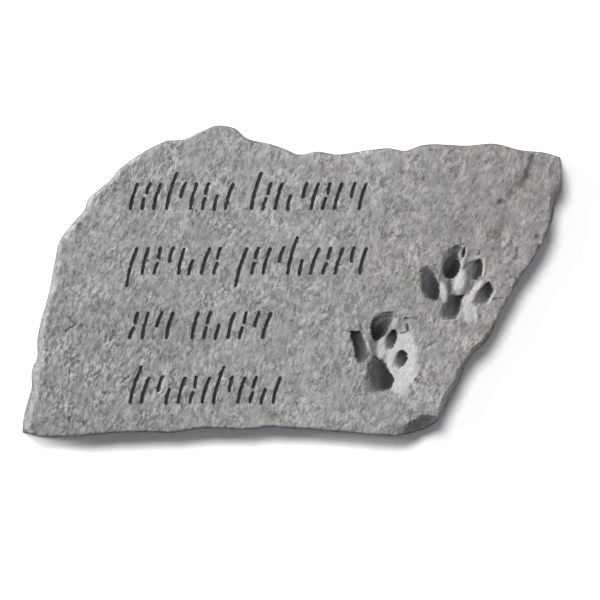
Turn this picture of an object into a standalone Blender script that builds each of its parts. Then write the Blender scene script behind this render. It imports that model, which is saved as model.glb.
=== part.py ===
"""A cast-stone garden memorial: a slab with a broken outline, two paw prints and cut strokes.

Metres, +Z up. The stone lies on its back with its face up: +X runs along the rows of strokes
and +Y up the face. The origin is under the middle of the stone, at the height of its underside.
"""

import math

import bmesh
import bpy
import numpy as np

# Stone
STONE_LENGTH = 0.400
STONE_WIDTH = 0.231
STONE_THICKNESS = 0.032
ARRIS_WEAR = 0.0016
FOOT_WEAR = 0.0018
FOOT_HEIGHT = 0.0040
SIDE_ROUGHNESS = 0.0016

# How far each side leans in from the ground to the face
LEFT_LEAN = 0.0050
TOP_LEAN = 0.0012
RIGHT_LEAN = 0.0045
BOTTOM_LEAN = 0.0010

# Uneven face
BROAD_RISE = 0.0014
BROAD_SPACING = 0.055
SMALL_RISE = 0.0007
SMALL_SPACING = 0.019
UNEVEN_SEED = 7
LATTICE_SIZE = 64

# Broken lower right corner
CHIP_RADIUS = 0.0193
CHIP_FALL = 1.60

# Rows of strokes
ROW_PITCH = 0.0475
STROKE_RISE = 0.0178
STROKE_PITCH = 0.0088
WORD_GAP = 0.0190
STROKE_WIDTH = 0.0026
STROKE_SLANT = 0.30

# Paw prints
PAW_LENGTH = 0.0622
PAW_DEPTH = 0.0052
PAD_DEPTH = 0.0042
CHANNEL_DEPTH = 0.0030

# Mesh
CELL_SIZE = 0.0084
PAW_CELL_SIZE = 0.0028
PATH_STEPS = 400
STROKE_POINTS = 5
STROKE_STEP = 0.0090
ARRIS_SHARE = 2 / 3
SIDE_SHARES = (1 / 3, 2 / 3)
WELD_DISTANCE = 0.00001

# The outline on the ground, as shares of the length and width, anticlockwise from the lower
# left corner.
BOTTOM_SIDE = (
    (0.000, 0.014), (0.037, 0.000), (0.081, 0.001), (0.126, 0.004), (0.152, 0.010),
    (0.181, 0.013), (0.237, 0.015), (0.281, 0.013), (0.304, 0.020), (0.326, 0.025),
    (0.437, 0.026), (0.459, 0.031), (0.504, 0.026), (0.548, 0.021), (0.570, 0.017),
    (0.615, 0.012), (0.659, 0.005), (0.692, 0.002),
)
RIGHT_SIDE = (
    (0.692, 0.002), (0.715, 0.010), (0.739, 0.021), (0.761, 0.039), (0.776, 0.065),
    (0.785, 0.097), (0.802, 0.151), (0.810, 0.177), (0.821, 0.228), (0.835, 0.264),
    (0.856, 0.299), (0.867, 0.324), (0.878, 0.369), (0.899, 0.440), (0.920, 0.504),
    (0.945, 0.568), (0.967, 0.632), (0.981, 0.696), (0.991, 0.770), (0.999, 0.796),
    (1.000, 0.831), (0.999, 0.873), (0.997, 0.898),
)
TOP_SIDE = (
    (0.267, 0.952), (0.298, 0.955), (0.330, 0.979), (0.362, 1.000), (0.392, 0.992),
    (0.414, 0.960), (0.468, 0.936), (0.494, 0.919), (0.508, 0.908), (0.522, 0.907),
    (0.543, 0.916), (0.585, 0.907), (0.615, 0.914), (0.650, 0.923), (0.681, 0.927),
    (0.708, 0.919), (0.739, 0.936), (0.830, 0.936), (0.872, 0.942), (0.926, 0.920),
    (0.968, 0.913), (0.997, 0.898),
)
LEFT_SIDE = (
    (0.000, 0.014), (0.002, 0.055), (0.011, 0.119), (0.017, 0.155), (0.018, 0.215),
    (0.027, 0.255), (0.028, 0.310), (0.035, 0.376), (0.046, 0.440), (0.054, 0.504),
    (0.061, 0.568), (0.070, 0.632), (0.083, 0.664), (0.098, 0.696), (0.115, 0.729),
    (0.122, 0.761), (0.141, 0.793), (0.163, 0.825), (0.178, 0.857), (0.202, 0.889),
    (0.231, 0.921), (0.267, 0.952),
)

# Where the right side leans at its two hollows and stands nearly upright elsewhere: how much
# of its lean it has at shares of the way up it
RIGHT_LEAN_TURNS = (
    (0.00, 0.22), (0.09, 0.25), (0.13, 0.85), (0.26, 0.85), (0.31, 0.60), (0.40, 0.60),
    (0.45, 0.22), (0.78, 0.22), (0.82, 0.70), (0.87, 1.00), (0.89, 1.00), (0.92, 0.22),
    (1.00, 0.22),
)

# How much of its lean the left side has at shares of the way up it
LEFT_LEAN_TURNS = (
    (0.00, 1.00), (0.18, 1.00), (0.30, 0.80), (0.40, 0.55), (0.60, 0.50), (0.70, 0.35),
    (1.00, 0.28),
)
LEAN_BLEND = 9

# Places on the face, as shares of the length and width from its middle
ROWS_LEFT = -0.298
ROWS_MIDDLE = -0.0775
CHIP_PLACE = (0.252, -0.506)

# Each row's words. A sign stands for a slanting stroke: slash plain, bar tall, comma hanging,
# colon broken in two, apostrophe the upper half and full stop the lower half.
ROWS = (
    ("/:/|'/:./", "|:/.'/:/'/"),
    (",/:'/./:", ",:/'|./:/'/"),
    (":/'/", "/:./:'/"),
    ("|/'./:/|'/:./",),
)

# The heights between which each sign's strokes run, as shares of the stroke rise
STROKE_SPANS = {
    "/": ((0.00, 1.00),),
    "|": ((0.00, 1.45),),
    ",": ((-0.52, 1.00),),
    ":": ((0.00, 0.40), (0.62, 1.02)),
    "'": ((0.48, 1.04),),
    ".": ((-0.04, 0.52),),
}
STROKE_BOW = 0.035
STROKE_STRAY = 0.0006
STROKE_SEED = 21

# Paw prints: places as for the rows, all else as shares of the paw length. A hollow is given by
# its place across and up, its half width and half length, and its lean to the right in degrees.
LOWER_PAW = {
    "place": (0.1704, -0.2365),
    "dish": (0.101, -0.042, 0.315, 0.482, 0.0),
    "pads": (
        (-0.286, 0.095, 0.098, 0.205, -15.0),
        (-0.042, 0.357, 0.131, 0.180, 18.0),
        (0.071, 0.179, 0.075, 0.140, 22.0),
        (0.190, -0.054, 0.080, 0.115, 22.0),
        (-0.048, -0.226, 0.155, 0.210, -12.0),
    ),
    "channel": ((-0.119, 0.190), (-0.080, -0.060), 0.045),
}
UPPER_PAW = {
    "place": (0.3046, -0.0088),
    "dish": (0.125, -0.012, 0.345, 0.440, 8.0),
    "pads": (
        (-0.315, 0.000, 0.113, 0.220, -8.0),
        (-0.030, 0.214, 0.105, 0.190, 6.0),
        (0.250, 0.179, 0.067, 0.145, 10.0),
        (0.351, -0.107, 0.083, 0.160, 28.0),
        (-0.060, -0.286, 0.131, 0.155, 10.0),
    ),
    "channel": ((-0.080, 0.070), (-0.042, -0.160), 0.040),
}
PAWS = (LOWER_PAW, UPPER_PAW)

# Where a dish and a pad are deepest, as shares of their own half width and half length
DISH_LOWEST = (-0.45, 0.20)
PAD_LOWEST = (0.45, -0.10)

STONE_COLOUR = (0.27, 0.265, 0.255, 1.0)
STONE_ROUGHNESS = 0.92


def smooth_path(points, steps=PATH_STEPS):
    """A curve through the points, at even steps along its length.

    Each span is a cubic whose slopes at its ends follow the points on both sides.
    """
    points = np.array(points, float)
    spans = np.linalg.norm(np.diff(points, axis=0), axis=1)
    marks = np.concatenate([[0.0], np.cumsum(spans)])
    slopes = np.gradient(points, marks, axis=0)
    along = np.linspace(0.0, marks[-1], steps + 1)
    span = np.clip(np.searchsorted(marks, along, side="right") - 1, 0, len(spans) - 1)
    width = spans[span][:, None]
    share = (along - marks[span])[:, None] / width
    curve = (
        (2 * share**3 - 3 * share**2 + 1) * points[span]
        + (share**3 - 2 * share**2 + share) * width * slopes[span]
        + (3 * share**2 - 2 * share**3) * points[span + 1]
        + (share**3 - share**2) * width * slopes[span + 1]
    )
    lengths = np.linalg.norm(np.diff(curve, axis=0), axis=1)
    travelled = np.concatenate([[0.0], np.cumsum(lengths)])
    even = np.linspace(0.0, travelled[-1], steps + 1)
    return np.stack([np.interp(even, travelled, curve[:, axis]) for axis in (0, 1)], axis=1)


def ground_sides():
    """The four sides of the outline on the ground, in metres, filling the stone's box."""
    shares = [smooth_path(side) for side in (BOTTOM_SIDE, RIGHT_SIDE, TOP_SIDE, LEFT_SIDE)]
    every = np.concatenate(shares)
    lowest, highest = every.min(axis=0), every.max(axis=0)
    size = np.array([STONE_LENGTH, STONE_WIDTH])
    return [((side - lowest) / (highest - lowest) - 0.5) * size for side in shares]


def loop_of(sides):
    """One anticlockwise loop from the four sides, with no point twice."""
    bottom, right, top, left = sides
    return np.concatenate([bottom[:-1], right[:-1], top[:0:-1], left[:0:-1]])


def sides_of(loop):
    """The four sides of such a loop, each with both of its ends."""
    steps = PATH_STEPS
    closed = np.concatenate([loop, loop[:1]])
    return [
        closed[: steps + 1],
        closed[steps : 2 * steps + 1],
        closed[2 * steps : 3 * steps + 1][::-1],
        closed[3 * steps :][::-1],
    ]


def blend_round(values, reach):
    """A closed run of values, each averaged with those within reach of it."""
    padded = np.concatenate([values[-reach:], values, values[:reach]])
    kernel = np.ones(2 * reach + 1) / (2 * reach + 1)
    columns = padded.reshape(len(padded), -1).T
    return np.stack([np.convolve(column, kernel, "valid") for column in columns], axis=1)


def inset(sides, depths):
    """The sides moved inwards by the given depths, square to a smoothed direction."""
    loop = loop_of(sides)
    along = np.roll(loop, -1, axis=0) - np.roll(loop, 1, axis=0)
    inwards = blend_round(np.stack([-along[:, 1], along[:, 0]], axis=1), LEAN_BLEND)
    inwards /= np.linalg.norm(inwards, axis=1)[:, None]
    return sides_of(loop + inwards * depths)


def leans():
    """How far the side leans in at each point of the loop, blended past the corners."""
    up = np.linspace(0.0, 1.0, PATH_STEPS + 1)
    right = RIGHT_LEAN * np.interp(up, *zip(*RIGHT_LEAN_TURNS))
    left = LEFT_LEAN * np.interp(up, *zip(*LEFT_LEAN_TURNS))
    level = np.ones(PATH_STEPS)
    depths = np.concatenate([level * BOTTOM_LEAN, right[:-1], level * TOP_LEAN, left[:0:-1]])
    return blend_round(depths, LEAN_BLEND)


def patch(sides, u, v):
    """Points of the surface that the four sides bound, at shares u across and v up.

    It is the sum of the two surfaces ruled between opposite sides, less the surface through
    the four corners, which both of them count.
    """
    steps = np.linspace(0.0, 1.0, PATH_STEPS + 1)
    bottom, right, top, left = (
        np.stack([np.interp(share, steps, side[:, axis]) for axis in (0, 1)], axis=1)
        for side, share in zip(sides, (u, v, u, v))
    )
    u, v = u[:, None], v[:, None]
    corners = (
        (1 - u) * (1 - v) * sides[0][0]
        + u * (1 - v) * sides[0][-1]
        + (1 - u) * v * sides[2][0]
        + u * v * sides[2][-1]
    )
    return (1 - v) * bottom + v * top + (1 - u) * left + u * right - corners


def uneven(x, y, spacing, seed):
    """Smooth random heights from -1 to 1: a seeded lattice of values, eased between them."""
    lattice = np.random.default_rng(seed).uniform(-1.0, 1.0, (LATTICE_SIZE, LATTICE_SIZE))
    column, across = np.divmod(x / spacing, 1.0)
    row, up = np.divmod(y / spacing, 1.0)
    across, up = (share * share * (3 - 2 * share) for share in (across, up))
    column, row = column.astype(int), row.astype(int)

    def value(right, above):
        return lattice[(row + above) % LATTICE_SIZE, (column + right) % LATTICE_SIZE]

    low = value(0, 0) * (1 - across) + value(1, 0) * across
    high = value(0, 1) * (1 - across) + value(1, 1) * across
    return low * (1 - up) + high * up


def on_face(place):
    """A place in metres, from shares of the length and width."""
    return place[0] * STONE_LENGTH, place[1] * STONE_WIDTH


def scoop(x, y, middle, hollow, lowest):
    """Depth from 0 at the edge of a leaning ellipse to 1 at a lowest point off its middle.

    A point's share of the way from the lowest point to the edge is worked out in the ellipse's
    own axes. The depth is 1 less its square: a crisp rim and a rounded bottom.
    """
    across, up, half_width, half_length, lean = hollow
    angle = math.radians(lean)
    dx = x - middle[0] - across * PAW_LENGTH
    dy = y - middle[1] - up * PAW_LENGTH
    s = (dx * math.cos(angle) - dy * math.sin(angle)) / (half_width * PAW_LENGTH) - lowest[0]
    t = (dx * math.sin(angle) + dy * math.cos(angle)) / (half_length * PAW_LENGTH) - lowest[1]
    room = 1.0 - lowest[0] ** 2 - lowest[1] ** 2
    towards = s * lowest[0] + t * lowest[1]
    share = (towards + np.sqrt(towards**2 + (s * s + t * t) * room)) / room
    return np.clip(1.0 - share**2, 0.0, None)


def channel(x, y, middle, start, end, half_width):
    """Depth from 0 to 1 of a round-bottomed channel between two points of a paw print."""
    start, end = (np.array(middle) + np.array(point) * PAW_LENGTH for point in (start, end))
    run = end - start
    share = ((x - start[0]) * run[0] + (y - start[1]) * run[1]) / (run @ run)
    share = np.clip(share, 0.0, 1.0)
    away = np.hypot(x - start[0] - share * run[0], y - start[1] - share * run[1])
    return np.clip(1.0 - (away / (half_width * PAW_LENGTH)) ** 2, 0.0, None)


def paw_hollow(x, y, paw):
    """Depth of one paw print: its dish, its five pads and the channel between them."""
    middle = on_face(paw["place"])
    pads = np.max([scoop(x, y, middle, pad, PAD_LOWEST) for pad in paw["pads"]], axis=0)
    return (
        PAW_DEPTH * scoop(x, y, middle, paw["dish"], DISH_LOWEST)
        + np.maximum(PAD_DEPTH * pads, CHANNEL_DEPTH * channel(x, y, middle, *paw["channel"]))
    )


def face_height(x, y):
    """Height of the uneven face, with the broken corner and without the paw prints."""
    chip_x, chip_y = on_face(CHIP_PLACE)
    chip = np.clip(CHIP_RADIUS - np.hypot(x - chip_x, y - chip_y), 0.0, None)
    broad = BROAD_RISE * (uneven(x, y, BROAD_SPACING, UNEVEN_SEED) - 1.0) / 2
    small = SMALL_RISE * (uneven(x, y, SMALL_SPACING, UNEVEN_SEED + 1) - 1.0) / 2
    return STONE_THICKNESS + broad + small - CHIP_FALL * chip


def pressed_height(x, y):
    """Height of the face with the paw prints pressed into it."""
    return face_height(x, y) - sum(paw_hollow(x, y, paw) for paw in PAWS)


def near_paw(x, y):
    """Which points lie in or beside a paw print."""
    near = np.zeros(len(x), bool)
    for paw in PAWS:
        middle = on_face(paw["place"])
        near |= np.hypot(x - middle[0], y - middle[1]) < (PAW_LENGTH + CELL_SIZE) / 2
    return near


def flat_places(verts):
    """The shares u and v at which a grid's vertices lie."""
    places = np.array([vert.co[:2] for vert in verts])
    return places[:, 0] + 0.5, places[:, 1] + 0.5


def rings(u, v, ground):
    """The rings of points down the side, from the worn arris to the underside.

    Each ring lies on the line from the arris to the ground, and the ones between them are
    pushed in unevenly, so that the side looks broken and not moulded.
    """
    rim = inset(ground, leans())
    face = inset(rim, ARRIS_WEAR)
    foot = inset(ground, FOOT_WEAR)
    arris, base = patch(rim, u, v), patch(ground, u, v)
    inner = patch(face, u, v)
    top = pressed_height(inner[:, 0], inner[:, 1]) - ARRIS_WEAR
    towards = inner - arris
    towards /= np.linalg.norm(towards, axis=1)[:, None]
    yield inner + (arris - inner) * ARRIS_SHARE, top + ARRIS_SHARE * ARRIS_WEAR
    yield arris, top
    for number, share in enumerate(SIDE_SHARES, 2):
        rough = uneven(base[:, 0], base[:, 1], SMALL_SPACING, UNEVEN_SEED + number)[:, None]
        pushed = towards * SIDE_ROUGHNESS * (1 + rough) / 2
        yield arris + (base - arris) * share + pushed, top + (FOOT_HEIGHT - top) * share
    yield base, np.full(len(u), FOOT_HEIGHT)
    yield patch(foot, u, v), np.zeros(len(u))


def lay_face(bm, ground):
    """A grid laid over the face, finer at the paw prints.

    It returns the layer that keeps each vertex's place on the flat grid, which the rings down
    the side are worked out from.
    """
    face = inset(inset(ground, leans()), ARRIS_WEAR)
    cells_across = round(STONE_LENGTH / CELL_SIZE)
    cells_up = round(STONE_WIDTH / CELL_SIZE)
    bmesh.ops.create_grid(bm, x_segments=cells_across, y_segments=cells_up, size=0.5)
    places = patch(face, *flat_places(bm.verts))
    near = near_paw(places[:, 0], places[:, 1])
    bm.verts.index_update()
    fine = [edge for edge in bm.edges if all(near[vert.index] for vert in edge.verts)]
    cuts = round(CELL_SIZE / PAW_CELL_SIZE) - 1
    bmesh.ops.subdivide_edges(bm, edges=fine, cuts=cuts, use_grid_fill=True)
    flat = bm.verts.layers.float_vector.new("flat")
    places = patch(face, *flat_places(bm.verts))
    heights = pressed_height(places[:, 0], places[:, 1])
    for vert, place, height in zip(bm.verts, places, heights):
        vert[flat] = vert.co
        vert.co = (*place, height)
    return flat


def draw_down(bm, flat, ground):
    """The face's border drawn down the side ring by ring, and closed by the underside."""
    border = [edge for edge in bm.edges if edge.is_boundary]
    numbers = {}
    for edge in border:
        for vert in edge.verts:
            numbers.setdefault(tuple(vert[flat]), len(numbers))
    u, v, _ = np.array(list(numbers)).T + 0.5
    for places, heights in rings(u, v, ground):
        made = bmesh.ops.extrude_edge_only(bm, edges=border)["geom"]
        border = [item for item in made if isinstance(item, bmesh.types.BMEdge)]
        for vert in (item for item in made if isinstance(item, bmesh.types.BMVert)):
            number = numbers[tuple(vert[flat])]
            vert.co = (*places[number], heights[number])
    bmesh.ops.edgeloop_fill(bm, edges=border)


def slab_mesh():
    """The stone before its strokes are cut."""
    ground = ground_sides()
    bm = bmesh.new()
    draw_down(bm, lay_face(bm, ground), ground)
    bmesh.ops.triangulate(bm, faces=bm.faces)
    bmesh.ops.recalc_face_normals(bm, faces=bm.faces)
    mesh = bpy.data.meshes.new("memorial_stone")
    bm.to_mesh(mesh)
    bm.free()
    return mesh


def strokes():
    """Each stroke's points on the face, in metres, row by row.

    A stroke leans to the right and bows a little, and its ends stray as a hand's would.
    """
    stray = np.random.default_rng(STROKE_SEED)
    left, middle = on_face((ROWS_LEFT, ROWS_MIDDLE))
    for row, words in enumerate(ROWS):
        base = middle + ROW_PITCH * ((len(ROWS) - 1) / 2 - row)
        start = left
        for word in words:
            for number, sign in enumerate(word):
                for low, high in STROKE_SPANS[sign]:
                    share = np.linspace(0.0, 1.0, STROKE_POINTS)
                    up = STROKE_RISE * (low + (high - low) * share)
                    bow = STROKE_BOW * STROKE_RISE * (high - low) * np.sin(np.pi * share)
                    ends = STROKE_STRAY * stray.uniform(-1.0, 1.0, 2)
                    across = STROKE_SLANT * up - bow + np.interp(share, (0.0, 1.0), ends)
                    yield np.stack([start + number * STROKE_PITCH + across, base + up], axis=1)
            start += (len(word) - 1) * STROKE_PITCH + WORD_GAP


def stroke_cutter(collection):
    """One mesh of square tubes laid on edge along the strokes, half above the face."""
    curve = bpy.data.curves.new("strokes", "CURVE")
    curve.dimensions = "3D"
    curve.twist_mode = "Z_UP"
    curve.bevel_depth = STROKE_WIDTH / 2
    curve.bevel_resolution = 0
    curve.use_fill_caps = True
    for points in strokes():
        length = np.linalg.norm(np.diff(points, axis=0), axis=1).sum()
        path = smooth_path(points, max(2, round(length / STROKE_STEP)))
        heights = face_height(path[:, 0], path[:, 1])
        spline = curve.splines.new("POLY")
        spline.points.add(len(path) - 1)
        for point, place, height in zip(spline.points, path, heights):
            point.co = (*place, height, 1.0)
    drawn = bpy.data.objects.new("strokes_path", curve)
    collection.objects.link(drawn)
    graph = bpy.context.evaluated_depsgraph_get()
    mesh = bpy.data.meshes.new_from_object(drawn.evaluated_get(graph))
    bpy.data.objects.remove(drawn)
    bm = bmesh.new()
    bm.from_mesh(mesh)
    bmesh.ops.remove_doubles(bm, verts=bm.verts, dist=WELD_DISTANCE)
    bmesh.ops.recalc_face_normals(bm, faces=bm.faces)
    bm.to_mesh(mesh)
    bm.free()
    cutter = bpy.data.objects.new("strokes_cutter", mesh)
    cutter.hide_render = True
    cutter.display_type = "WIRE"
    collection.objects.link(cutter)
    return cutter


def stone_material():
    """Grey cast stone: dull and slightly warm."""
    material = bpy.data.materials.new("cast_stone")
    material.use_nodes = True
    shader = material.node_tree.nodes["Principled BSDF"]
    shader.inputs["Base Color"].default_value = STONE_COLOUR
    shader.inputs["Roughness"].default_value = STONE_ROUGHNESS
    shader.inputs["Metallic"].default_value = 0.0
    return material


def main():
    for item in list(bpy.data.objects):
        bpy.data.objects.remove(item)
    parts = bpy.data.collections.new("cat_memorial_stone")
    cutters = bpy.data.collections.new("cutters")
    bpy.context.scene.collection.children.link(parts)
    bpy.context.scene.collection.children.link(cutters)
    stone = bpy.data.objects.new("memorial_stone", slab_mesh())
    stone.data.materials.append(stone_material())
    parts.objects.link(stone)
    cut = stone.modifiers.new("strokes", "BOOLEAN")
    cut.operation = "DIFFERENCE"
    cut.solver = "EXACT"
    cut.object = stroke_cutter(cutters)


main()
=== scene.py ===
"""The finish of a cast-stone cat memorial, laid out as a Blender add-on and run as a script.

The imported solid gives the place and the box. One surface stands for it here: the same stone
with the grain of its face, the round of its strokes, the hollows of its paw prints and its
rough sides. Metres, +Z up, the stone lying on its back.
"""

import math

import bpy
import numpy as np
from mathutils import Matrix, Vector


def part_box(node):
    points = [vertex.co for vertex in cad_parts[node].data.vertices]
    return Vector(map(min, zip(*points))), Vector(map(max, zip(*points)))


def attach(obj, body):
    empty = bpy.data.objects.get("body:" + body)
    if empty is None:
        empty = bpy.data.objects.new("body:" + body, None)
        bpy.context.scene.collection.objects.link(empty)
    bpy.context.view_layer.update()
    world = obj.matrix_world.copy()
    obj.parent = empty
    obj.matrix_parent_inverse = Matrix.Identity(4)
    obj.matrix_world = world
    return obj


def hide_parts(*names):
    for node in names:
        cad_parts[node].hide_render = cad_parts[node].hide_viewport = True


bl_info = {
    "name": "Cat memorial stone",
    "version": (1, 0, 0),
    "blender": (4, 5, 0),
    "location": "3D View > Sidebar > Memorial",
    "description": "Builds the surface, the finish and the stage of a cast-stone cat memorial",
    "category": "Object",
}

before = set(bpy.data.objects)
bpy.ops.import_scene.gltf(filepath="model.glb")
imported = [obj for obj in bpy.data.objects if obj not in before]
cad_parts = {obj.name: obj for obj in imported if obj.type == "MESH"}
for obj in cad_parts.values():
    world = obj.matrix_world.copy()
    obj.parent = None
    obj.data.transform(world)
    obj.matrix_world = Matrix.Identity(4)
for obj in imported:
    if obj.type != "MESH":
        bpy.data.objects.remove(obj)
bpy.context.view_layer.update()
STONE_NODE = "memorial_stone"
STONE_LOW, STONE_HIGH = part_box(STONE_NODE)

# The outline on the ground, as shares of the length and width, from the lower left corner
BOTTOM_SIDE = (
    (0.000, 0.014), (0.037, 0.000), (0.081, 0.001), (0.126, 0.004), (0.152, 0.010),
    (0.181, 0.013), (0.237, 0.015), (0.281, 0.013), (0.304, 0.020), (0.326, 0.025),
    (0.437, 0.026), (0.459, 0.031), (0.504, 0.026), (0.548, 0.021), (0.570, 0.017),
    (0.615, 0.012), (0.659, 0.005), (0.692, 0.002),
)
RIGHT_SIDE = (
    (0.692, 0.002), (0.715, 0.010), (0.739, 0.021), (0.761, 0.039), (0.776, 0.065),
    (0.785, 0.097), (0.802, 0.151), (0.810, 0.177), (0.821, 0.228), (0.835, 0.264),
    (0.856, 0.299), (0.867, 0.324), (0.878, 0.369), (0.899, 0.440), (0.920, 0.504),
    (0.945, 0.568), (0.967, 0.632), (0.981, 0.696), (0.991, 0.770), (0.999, 0.796),
    (1.000, 0.831), (0.999, 0.873), (0.997, 0.898),
)
TOP_SIDE = (
    (0.267, 0.952), (0.298, 0.955), (0.330, 0.979), (0.362, 1.000), (0.392, 0.992),
    (0.414, 0.960), (0.468, 0.936), (0.494, 0.919), (0.508, 0.908), (0.522, 0.907),
    (0.543, 0.916), (0.585, 0.907), (0.615, 0.914), (0.650, 0.923), (0.681, 0.927),
    (0.708, 0.919), (0.739, 0.936), (0.830, 0.936), (0.872, 0.942), (0.926, 0.920),
    (0.968, 0.913), (0.997, 0.898),
)
LEFT_SIDE = (
    (0.000, 0.014), (0.002, 0.055), (0.011, 0.119), (0.017, 0.155), (0.018, 0.215),
    (0.027, 0.255), (0.028, 0.310), (0.035, 0.376), (0.046, 0.440), (0.054, 0.504),
    (0.061, 0.568), (0.070, 0.632), (0.083, 0.664), (0.098, 0.696), (0.115, 0.729),
    (0.122, 0.761), (0.141, 0.793), (0.163, 0.825), (0.178, 0.857), (0.202, 0.889),
    (0.231, 0.921), (0.267, 0.952),
)

# Where the right side leans at its two hollows and stands nearly upright elsewhere: how much
# of its lean it has at shares of the way up it
RIGHT_LEAN_TURNS = (
    (0.00, 0.22), (0.09, 0.25), (0.13, 0.85), (0.26, 0.85), (0.31, 0.60), (0.40, 0.60),
    (0.45, 0.22), (0.78, 0.22), (0.82, 0.70), (0.87, 1.00), (0.89, 1.00), (0.92, 0.22),
    (1.00, 0.22),
)

# How much of its lean the left side has at shares of the way up it
LEFT_LEAN_TURNS = (
    (0.00, 1.00), (0.18, 1.00), (0.30, 0.80), (0.40, 0.55), (0.60, 0.50), (0.70, 0.35),
    (1.00, 0.28),
)
PATH_STEPS = 400
LEAN_BLEND = 9

# Places on the face, as shares of the length and width from its middle
ROWS_LEFT = -0.298
ROWS_MIDDLE = -0.0775
CHIP_PLACE = (0.252, -0.506)

# Each row's words. A sign stands for a slanting stroke: slash plain, bar tall, comma hanging,
# colon broken in two, apostrophe the upper half and full stop the lower half.
ROWS = (
    ("/:/|'/:./", "|:/.'/:/'/"),
    (",/:'/./:", ",:/'|./:/'/"),
    (":/'/", "/:./:'/"),
    ("|/'./:/|'/:./",),
)
STROKE_SPANS = {
    "/": ((0.00, 1.00),),
    "|": ((0.00, 1.45),),
    ",": ((-0.52, 1.00),),
    ":": ((0.00, 0.40), (0.62, 1.02)),
    "'": ((0.48, 1.04),),
    ".": ((-0.04, 0.52),),
}
STROKE_BOW = 0.035
STROKE_STRAY = 0.0006
STROKE_SEED = 21
STROKE_POINTS = 5
STROKE_REACH = 0.004

# Paw prints: places as for the rows, all else as shares of the paw length. The dish is a hollow
# given by its place across and up, its half width and half length, and its lean to the right in
# degrees. A pad has its outline, the direction in degrees of its steep and darkest edge, how
# soft its other edge is, and how dark its wash is at the soft and at the steep edge.
LOWER_PAW = {
    "place": (0.1704, -0.2365),
    "dish": (0.101, -0.042, 0.315, 0.482, 0.0),
    "pads": (
        {
            "outline": (
                (-0.408, 0.292), (-0.370, 0.282), (-0.320, 0.284), (-0.276, 0.280),
                (-0.246, 0.215), (-0.214, 0.146), (-0.194, 0.048), (-0.190, -0.030),
                (-0.205, -0.080), (-0.284, -0.094), (-0.345, -0.050), (-0.368, 0.096),
                (-0.386, 0.208),
            ),
            "steep": 168.0, "soft": 0.080, "wash": (0.62, 1.08),
        },
        {
            "outline": (
                (-0.176, 0.330), (-0.158, 0.400), (-0.110, 0.462), (-0.040, 0.502), (0.098, 0.511),
                (0.114, 0.475), (0.090, 0.423), (0.070, 0.352), (0.034, 0.280),
                (-0.014, 0.236), (-0.077, 0.192), (-0.112, 0.164), (-0.150, 0.230),
            ),
            "steep": 246.0, "soft": 0.055, "wash": (0.48, 1.10),
        },
        {
            "outline": (
                (0.106, 0.304), (0.150, 0.288), (0.153, 0.224), (0.134, 0.160),
                (0.106, 0.105), (0.066, 0.055), (0.030, 0.058), (0.000, 0.105),
                (-0.006, 0.160), (0.018, 0.216), (0.058, 0.264),
            ),
            "steep": 5.0, "soft": 0.040, "wash": (0.09, 1.14),
        },
        {
            "outline": (
                (0.204, 0.061), (0.248, 0.045), (0.266, 0.001), (0.258, -0.063),
                (0.230, -0.115), (0.188, -0.153), (0.140, -0.157), (0.104, -0.135),
                (0.112, -0.087), (0.130, -0.023), (0.160, 0.033),
            ),
            "steep": 10.0, "soft": 0.045, "wash": (0.12, 1.12),
        },
        {
            "outline": (
                (-0.141, -0.020), (-0.077, -0.047), (-0.014, -0.043), (0.026, -0.087),
                (0.040, -0.151), (0.056, -0.202), (0.098, -0.246), (0.104, -0.302),
                (0.088, -0.366), (0.040, -0.412), (-0.077, -0.456), (-0.180, -0.490),
                (-0.232, -0.430), (-0.226, -0.302), (-0.212, -0.206), (-0.184, -0.111),
            ),
            "steep": 2.0, "soft": 0.150, "wash": (0.38, 1.14),
        },
    ),
    "lumps": (
        (0.204, -0.078, 0.218, 0.452, 7.0, 1.00, 0.0),
        (0.130, 0.365, 0.055, 0.086, 0.0, 0.80, 0.010),
        (-0.038, 0.130, 0.052, 0.130, 24.0, 0.95, 0.004),
        (-0.032, 0.052, 0.068, 0.096, 6.0, 0.95, 0.006),
        (0.066, 0.036, 0.110, 0.068, 20.0, 0.85, 0.004),
        (-0.174, 0.082, 0.023, 0.110, -22.0, 0.72, 0.014),
    ),
    "marks": (
        ((0.235, 0.436), (0.290, 0.436), 0.019, 0.66),
        ((0.264, 0.362), (0.274, 0.285), 0.021, 0.74),
        ((0.190, 0.256), (0.262, 0.270), 0.019, 0.36),
        ((0.308, -0.357), (0.321, -0.410), 0.017, 0.30),
        ((0.350, -0.290), (0.405, -0.292), 0.021, 0.30),
        ((-0.296, 0.355), (-0.270, 0.290), 0.018, 0.42),
        ((-0.030, 0.500), (0.095, 0.510), 0.012, 0.70),
        ((-0.128, -0.018), (-0.084, -0.044), 0.018, 0.85),
    ),
}
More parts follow.
